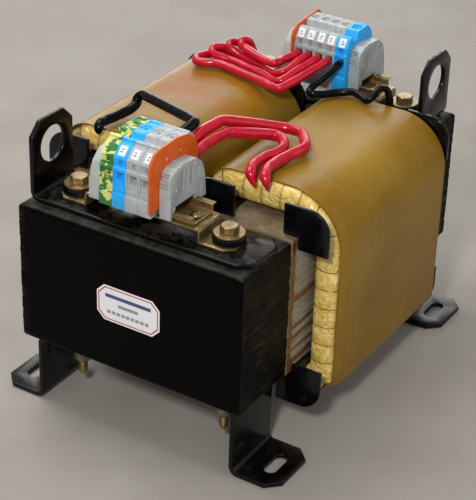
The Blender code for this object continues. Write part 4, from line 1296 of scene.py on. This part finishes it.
END_STOP = [
    (-0.021, -0.0055), (-0.021, 0.029), (-0.0185, 0.032), (-0.0125, 0.0348), (-0.0035, 0.036),
    (0.014, 0.0342), (0.0225, 0.0268), (0.0258, 0.017), (0.0278, 0.0005), (0.0278, -0.003),
    (FOOT, -0.003), (FOOT, 0.0003), (-FOOT, 0.0003), (-FOOT, -0.0055),
]


def end_stop(side, hand):
    """A snap-on end stop: ribbed front and top, and three slots and two pips in its side."""
    node = side + "_end_stop_" + hand
    low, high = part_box(node)
    y = SIDES[side]
    sign = 1 if hand == "right" else -1
    radii = [0.0005, 0.003, 0.002, 0.003, 0.004, 0.006, 0.006, 0.006, 0.002, 0.0005, *[0.0004] * 4]
    outline = rounded(on_rail(END_STOP, side), radii, 5)
    if sign < 0:
        outline = [(2 * y - u, v) for u, v in reversed(outline)]

    def bar(near, far, base, top):
        a, b = y + sign * near, y + sign * far
        return rectangle(min(a, b), RAIL_TOP + base, max(a, b), RAIL_TOP + top)

    groups = []
    inset = 0.0008
    for start, end in ((high[0] - inset, high[0] + 0.002), (low[0] - 0.002, low[0] + inset)):
        cuts = []
        for u, base, tall in ((-0.0040, 0.0135, 0.0165), (0.0002, 0.0150, 0.0160), (0.0080, 0.0165, 0.0140)):
            cuts.append((rounded(bar(u - 0.0008, u + 0.0008, base, base + tall), 0.0006, 3), "x", start, end))
        cuts.append((circle((y + sign * 0.0165, RAIL_TOP + 0.0255), 0.0012, 16), "x", start, end))
        groups.append(cuts)
    across = (low[0] - 0.001, high[0] - 0.0026) if sign > 0 else (low[0] + 0.0026, high[0] + 0.001)
    groups.append([(bar(-0.0230, -0.0183, 0.0262, 0.0400), "x", *across)])
    ribs = []
    for base, reach in ((0.0205, 0.0200), (0.0235, 0.0200), (0.0282, 0.0172), (0.0306, 0.0168)):
        ribs.append((bar(-0.0230, -reach, base, base + RIB), "x", *across))
    for near in (-0.0105, -0.0080, -0.0055):
        ribs.append((bar(near, near + RIB, 0.0338, 0.0400), "x", *across))
    groups.append(ribs)
    groups.append([(bar(-0.0150, 0.0130, -0.001, 0.0042), "x", low[0] - 0.001, high[0] + 0.001)])
    meshes = [carved(node, [(outline, "x", low[0], high[0])], groups, edge=0.0003)]
    face = high[0] if sign > 0 else low[0]
    for u, v in ((-0.0128, 0.0175), (0.0135, 0.0295), (-0.0155, 0.0030)):
        meshes.append(side_pip(0.0008, 0.0012, (face, y + sign * u, RAIL_TOP + v), sign))
    whole = merged(node, meshes, (0, 0, 0, 0))
    add_piece(node + "_moulding", whole, GREY, body=side + "_" + hand + "_stop", stands_for=[node])


def make_terminals():
    spring_terminal("front_earth_terminal", "front", EARTH, marked=False)
    spring_terminal("front_neutral_terminal", "front", BLUE)
    for index in (1, 2):
        spring_terminal("front_grey_terminal_" + str(index), "front", GREY)
    for index in range(1, 5):
        spring_terminal("rear_grey_terminal_" + str(index), "rear", GREY)
    spring_terminal("rear_neutral_terminal", "rear", BLUE)
    end_plate("front", 1)
    end_plate("rear", -1)
    for side in SIDES:
        for hand in ("left", "right"):
            end_stop(side, hand)


# -------- leads

SLEEVE_RADIUS = 0.0048
REAR_SLEEVE_RADIUS = 0.0040
BLACK_RADIUS = 0.0044
THIN_BLACK_RADIUS = 0.0034
WIRE_RADIUS = 0.0015
LONG_TIP, SHORT_TIP = (0.0115, 0.8), (0.0060, 0.5)

# The routes repeat those of part.py. Each starts in its terminal, and the rear reds in the coil.
FRONT_RED_1 = [
    (0.0, -0.1108, 0.233), (0.0003, -0.103, 0.2332), (0.0011, -0.0873, 0.2364),
    (0.0018, -0.0756, 0.2388), (0.0032, -0.0626, 0.2396), (0.0047, -0.0531, 0.2396),
    (0.0065, -0.0485, 0.2385), (0.0132, -0.0349, 0.2336), (0.0206, -0.0204, 0.2282),
    (0.03, -0.0091, 0.2242), (0.0417, -0.0039, 0.2232), (0.0499, -0.005, 0.2228),
    (0.0583, -0.0131, 0.2222), (0.0648, -0.0235, 0.2215), (0.0641, -0.03, 0.221),
    (0.0612, -0.0406, 0.2205), (0.0588, -0.0565, 0.2203), (0.059, -0.0695, 0.2206),
    (0.0615, -0.078, 0.2206), (0.065, -0.0842, 0.2195), (0.0672, -0.0858, 0.2157),
    (0.0686, -0.0858, 0.2099),
]

FRONT_RED_2 = [
    (0.012, -0.1112, 0.233), (0.0122, -0.1045, 0.2332), (0.0105, -0.0881, 0.2336),
    (0.0108, -0.0741, 0.2336), (0.0113, -0.0588, 0.2326), (0.0127, -0.0536, 0.2318),
    (0.0193, -0.0444, 0.2296), (0.027, -0.0323, 0.2264), (0.0346, -0.023, 0.2236),
    (0.0403, -0.0221, 0.2228), (0.048, -0.0285, 0.222), (0.0515, -0.0372, 0.2212),
    (0.0503, -0.0451, 0.2206), (0.0474, -0.0528, 0.2203), (0.0462, -0.068, 0.2206),
    (0.048, -0.077, 0.2206), (0.0515, -0.0838, 0.2195), (0.0545, -0.0858, 0.2155),
    (0.0577, -0.0858, 0.2097),
]

FRONT_BLACK = [
    (-0.012, -0.1112, 0.233), (-0.012, -0.1045, 0.2335), (-0.0095, -0.096, 0.239),
    (-0.005, -0.087, 0.244), (-0.0048, -0.0787, 0.2455), (-0.0138, -0.0721, 0.244),
    (-0.0305, -0.0636, 0.2415), (-0.0545, -0.0511, 0.2375), (-0.0741, -0.0414, 0.2345),
    (-0.084, -0.0362, 0.2322), (-0.0878, -0.0372, 0.229), (-0.088, -0.0402, 0.2252),
    (-0.0892, -0.0455, 0.2222), (-0.0915, -0.053, 0.2206), (-0.0935, -0.064, 0.2203),
    (-0.0945, -0.0745, 0.2207), (-0.094, -0.0825, 0.2206), (-0.093, -0.0858, 0.2175),
    (-0.0925, -0.0858, 0.213),
]

REAR_REDS = [
    [
        (-0.0893, 0.1078, 0.206), (-0.0895, 0.108, 0.215), (-0.095, 0.1048, 0.2206),
        (-0.1006, 0.096, 0.2198), (-0.1042, 0.088, 0.2198), (-0.106, 0.08, 0.2198),
        (-0.103, 0.0738, 0.2197), (-0.097, 0.074, 0.2197), (-0.0864, 0.0785, 0.2197),
        (-0.0785, 0.0793, 0.2197), (-0.058, 0.0748, 0.2199), (-0.0329, 0.0673, 0.2206),
        (-0.016, 0.0618, 0.2214), (-0.0106, 0.0605, 0.2222), (-0.0076, 0.0628, 0.223),
        (-0.0062, 0.0672, 0.2238), (-0.0022, 0.08, 0.2262), (0.0038, 0.101, 0.2308),
        (0.0066, 0.1095, 0.2328), (0.007, 0.1143, 0.233),
    ],
    [
        (-0.0807, 0.1053, 0.206), (-0.0807, 0.1066, 0.214), (-0.0835, 0.106, 0.2205),
        (-0.088, 0.1022, 0.2248), (-0.093, 0.0976, 0.227), (-0.0966, 0.0926, 0.227),
        (-0.0956, 0.0884, 0.2254), (-0.0898, 0.0876, 0.2232), (-0.0763, 0.0906, 0.2208),
        (-0.0608, 0.0875, 0.2204), (-0.0387, 0.0801, 0.2208), (-0.0254, 0.0742, 0.2215),
        (-0.0186, 0.0719, 0.2224), (-0.0148, 0.0726, 0.2238), (-0.012, 0.079, 0.2256),
        (-0.0098, 0.089, 0.228), (-0.0044, 0.106, 0.232), (-0.003, 0.1143, 0.233),
    ],
    [
        (-0.0718, 0.1053, 0.206), (-0.072, 0.1072, 0.215), (-0.0743, 0.1086, 0.2225),
        (-0.0774, 0.108, 0.2284), (-0.0806, 0.1054, 0.2316), (-0.0833, 0.1018, 0.2326),
        (-0.0838, 0.0985, 0.2318), (-0.082, 0.0962, 0.2304), (-0.0713, 0.0974, 0.2246),
        (-0.0598, 0.0975, 0.222), (-0.0477, 0.0948, 0.221), (-0.0357, 0.0886, 0.2215),
        (-0.0279, 0.0848, 0.2228), (-0.0245, 0.0849, 0.2242), (-0.019, 0.0892, 0.2268),
        (-0.0146, 0.106, 0.2322), (-0.013, 0.1143, 0.233),
    ],
    [
        (-0.0632, 0.1053, 0.206), (-0.0634, 0.1075, 0.215), (-0.0656, 0.1094, 0.224),
        (-0.0686, 0.1092, 0.2308), (-0.0706, 0.107, 0.2354), (-0.073, 0.1026, 0.2364),
        (-0.0718, 0.0986, 0.235), (-0.0674, 0.0974, 0.233), (-0.0531, 0.0928, 0.2308),
        (-0.0428, 0.0894, 0.2304), (-0.0371, 0.0876, 0.2305), (-0.0321, 0.0866, 0.2309),
        (-0.0291, 0.0884, 0.2314), (-0.0278, 0.0985, 0.2316), (-0.0238, 0.1075, 0.2328),
        (-0.023, 0.1143, 0.233),
    ],
]

REAR_BLACK = [
    (0.018, 0.1139, 0.233), (0.0178, 0.107, 0.2315), (0.014, 0.095, 0.226), (0.011, 0.083, 0.2215),
    (0.0125, 0.075, 0.219), (0.0205, 0.0785, 0.2182), (0.032, 0.09, 0.2185), (0.043, 0.095, 0.22),
    (0.053, 0.093, 0.2192), (0.06, 0.09, 0.2187), (0.064, 0.094, 0.223), (0.0665, 0.1005, 0.227),
    (0.07, 0.105, 0.226), (0.0735, 0.1055, 0.218), (0.0745, 0.1048, 0.206),
]


def fine_route(points):
    """A close-set centripetal curve through the route's points."""
    nodes = [Vector(point) for point in points]
    nodes = [2 * nodes[0] - nodes[1]] + nodes + [2 * nodes[-1] - nodes[-2]]
    fine = []
    for k in range(1, len(nodes) - 2):
        p0, p1, p2, p3 = nodes[k - 1 : k + 3]
        t1 = (p1 - p0).length ** 0.5
        t2 = t1 + (p2 - p1).length ** 0.5
        t3 = t2 + (p3 - p2).length ** 0.5
        for i in range(24):
            t = t1 + (t2 - t1) * i / 24
            a1 = p0 * ((t1 - t) / t1) + p1 * (t / t1)
            a2 = p1 * ((t2 - t) / (t2 - t1)) + p2 * ((t - t1) / (t2 - t1))
            a3 = p2 * ((t3 - t) / (t3 - t2)) + p3 * ((t - t2) / (t3 - t2))
            b1 = a1 * ((t2 - t) / t2) + a2 * (t / t2)
            b2 = a2 * ((t3 - t) / (t3 - t1)) + a3 * ((t - t1) / (t3 - t1))
            fine.append(b1 * ((t2 - t) / (t2 - t1)) + b2 * ((t - t1) / (t2 - t1)))
    fine.append(nodes[-2])
    return fine


def even_points(fine, spacing):
    """Points an even distance apart along a close-set curve."""
    lengths = [0.0]
    for a, b in zip(fine, fine[1:]):
        lengths.append(lengths[-1] + (b - a).length)
    count = max(4, round(lengths[-1] / spacing))
    result = []
    index = 0
    for i in range(count + 1):
        target = lengths[-1] * i / count
        while index < len(fine) - 2 and lengths[index + 1] < target:
            index += 1
        share = (target - lengths[index]) / max(lengths[index + 1] - lengths[index], 1e-9)
        result.append(fine[index].lerp(fine[index + 1], min(share, 1.0)))
    return result


def tube(points, radius, seed, tip=None):
    """A sleeve along the points: uneven, and creased in its bends. A tip is (length, power of its taper)."""
    bm = bmesh.new()
    sides = 24
    last = len(points) - 1
    tangents = []
    for i in range(last + 1):
        tangents.append((points[min(i + 1, last)] - points[max(i - 1, 0)]).normalized())
    up = tangents[0].orthogonal().normalized()
    rings = []
    spacing = (points[-1] - points[-2]).length
    for i, tangent in enumerate(tangents):
        up = (up - tangent * up.dot(tangent)).normalized()
        side = tangent.cross(up)
        a = tangents[max(i - 2, 0)]
        b = tangents[min(i + 2, last)]
        bend = a.angle(b) if i else 0.0
        inward = (b - a).normalized() if bend > 0.02 else Vector((0, 0, 0))
        from_end = (last - i) * spacing
        pinch = 1.0
        if tip and from_end < tip[0]:
            pinch = 0.10 + 0.90 * (from_end / tip[0]) ** tip[1]
        ring = []
        for k in range(sides):
            angle = 2 * math.pi * k / sides
            direction = up * math.cos(angle) + side * math.sin(angle)
            wave = noise.noise(points[i] * 90 + Vector((seed, k * 0.05, 0))) * 0.05
            towards = max(direction.dot(inward), 0.0)
            crease = -min(bend, 0.9) * 0.28 * towards
            widen = min(bend, 0.9) * 0.06 * (1 - abs(direction.dot(inward)))
            scale = min(0.97 + wave + crease + widen, 1.0)
            offset = up * (math.cos(angle) * pinch) + side * (math.sin(angle) * pinch)
            ring.append(bm.verts.new(points[i] + offset * (radius * scale)))
        rings.append(ring)
    skin(bm, rings)
    return mesh_from(bm, "tube")


def make_lead(node, route, radius, look, seed, tip=SHORT_TIP, from_coil=False):
    """A sleeve along its route, and the bare wire that it leaves in the terminal."""
    points = even_points(fine_route(route), 0.0016)
    if from_coil:
        points.reverse()
    start = points[0]
    into = Vector((0, 1 if start.y > 0 else -1, 0))
    steps = [start - into * 0.003, start, start + into * 0.006]
    wire = tube(even_points(steps, 0.001), WIRE_RADIUS, seed)
    add_piece(node + "_sleeve", tube(points, radius, seed, tip), look, stands_for=[node], angle=60)
    add_piece(node + "_wire", wire, COPPER, angle=60)


def make_leads():
    make_lead("front_red_lead_1", FRONT_RED_1, SLEEVE_RADIUS, RED, 1.0, LONG_TIP)
    make_lead("front_red_lead_2", FRONT_RED_2, SLEEVE_RADIUS, RED, 2.0, LONG_TIP)
    make_lead("front_black_lead", FRONT_BLACK, BLACK_RADIUS, BLACK, 3.0)
    for index, route in enumerate(REAR_REDS):
        node = "rear_red_lead_" + str(index + 1)
        make_lead(node, route, REAR_SLEEVE_RADIUS, RED, 4.0 + index, from_coil=True)
    make_lead("rear_black_lead", REAR_BLACK, THIN_BLACK_RADIUS, BLACK, 9.0)


# -------- label


def make_label():
    """A plain rating plate sticker: a red-ruled octagon with bars in place of lettering."""
    face = YOKE_LOW[1] - 0.0001
    x0, x1, z0, z1 = -0.0285, 0.0308, 0.1085, 0.1404
    cut = 0.0068

    def octagon(inset):
        a, b, c, d = x0 + inset, x1 - inset, z0 + inset, z1 - inset
        k = cut - inset * 0.4
        lower = [(a + k, c), (b - k, c), (b, c + k), (b, d - k)]
        return lower + [(b - k, d), (a + k, d), (a, d - k), (a, c + k)]

    white = prisms_mesh("paper", [(octagon(0.0), "y", face - 0.00022, face)])
    near, far = face - 0.00030, face - 0.00021
    bm = bmesh.new()
    rings = []
    for inset, y in ((0.0014, near), (0.0023, near), (0.0023, far), (0.0014, far)):
        rings.append([bm.verts.new((u, y, v)) for u, v in octagon(inset)])
    for a, b in zip(rings, rings[1:] + rings[:1]):
        bridge(bm, a, b)
    red = mesh_from(bm, "rule")
    center = (x0 + x1) / 2

    def bar(u, width, base, top):
        return (rectangle(u, base, u + width, top), "y", face - 0.00028, face - 0.00021)

    navy = prisms_mesh("bar", [bar(center - 0.0215, 0.0430, 0.1300, 0.1332)])
    bars = [bar(center - 0.0095, 0.0190, 0.1232, 0.1260)]
    for k in range(9):
        bars.append(bar(center - 0.0200 + 0.0045 * k, 0.0034, 0.1158, 0.1186))
    grey = prisms_mesh("bars", bars)
    whole = merged("label", [white, red, navy, grey])
    looks = [
        sticker_look("label_white", (0.86, 0.86, 0.85)),
        sticker_look("label_red", (0.55, 0.015, 0.03)),
        sticker_look("label_navy", (0.07, 0.08, 0.22)),
        sticker_look("label_grey", (0.30, 0.30, 0.32)),
    ]
    add_piece("rating_label", whole, looks)


# -------- surroundings


# Each light's name, place, size and power. All of them face the object.
LIGHTS = (
    ("key", (-0.8, 0.1, 1.7), 1.1, 19.0),
    ("wall", (-1.1, 2.1, 0.8), 1.8, 23.0),
    ("fill", (1.9, 0.4, 0.9), 1.2, 4.0),
    ("flash", (0.50, -1.30, 1.15), 0.16, 15.0),
)


def make_surroundings():
    slab = prisms_mesh("floor", [(rectangle(-6, -6, 6, 6), "z", -0.02, -0.0002)])
    slab.materials.append(floor_look())
    floor = bpy.data.objects.new("floor", slab)
    bpy.context.scene.collection.objects.link(floor)
    world = bpy.data.worlds.new("studio")
    bpy.context.scene.world = world
    world.use_nodes = True
    background = world.node_tree.nodes["Background"]
    background.inputs["Color"].default_value = (0.96, 0.97, 1.0, 1.0)
    background.inputs["Strength"].default_value = 0.40
    middle = Vector((0, 0, 0.13))
    for name, place, size, power in LIGHTS:
        light = bpy.data.lights.new(name, "AREA")
        light.size = size
        light.energy = power
        lamp = bpy.data.objects.new(name, light)
        bpy.context.scene.collection.objects.link(lamp)
        lamp.location = place
        lamp.visible_camera = False
        lamp.rotation_euler = (middle - Vector(place)).to_track_quat("-Z", "Y").to_euler()


CAMERA_PLACE = (0.6457, -1.0796, 0.8142)
CAMERA_YAW, CAMERA_PITCH, CAMERA_ROLL = 31.22, -29.78, 1.903
CAMERA_LENS = 120.8304


def make_camera():
    yaw, pitch, roll = (math.radians(angle) for angle in (CAMERA_YAW, CAMERA_PITCH, CAMERA_ROLL))
    forward = Vector((-math.sin(yaw) * math.cos(pitch), math.cos(yaw) * math.cos(pitch), math.sin(pitch)))
    level = Vector((math.cos(yaw), math.sin(yaw), 0))
    above = level.cross(forward)
    right = level * math.cos(roll) + above * math.sin(roll)
    up = above * math.cos(roll) - level * math.sin(roll)
    data = bpy.data.cameras.new("camera")
    data.lens = CAMERA_LENS
    camera = bpy.data.objects.new("camera", data)
    bpy.context.scene.collection.objects.link(camera)
    turn = Matrix((right, up, -forward)).transposed().to_4x4()
    camera.matrix_world = Matrix.Translation(CAMERA_PLACE) @ turn
    bpy.context.scene.camera = camera


make_camera()
make_surroundings()
make_core()
make_clamps()
make_feet()
make_fasteners()
for hand, wrap in (("left", WRAP_LEFT), ("right", WRAP_RIGHT)):
    make_winding(hand)
    make_wrap(hand, wrap)
    make_former(hand)
make_brackets_and_rails()
make_terminals()
make_leads()
make_label()
bpy.context.scene.view_settings.view_transform = "Standard"
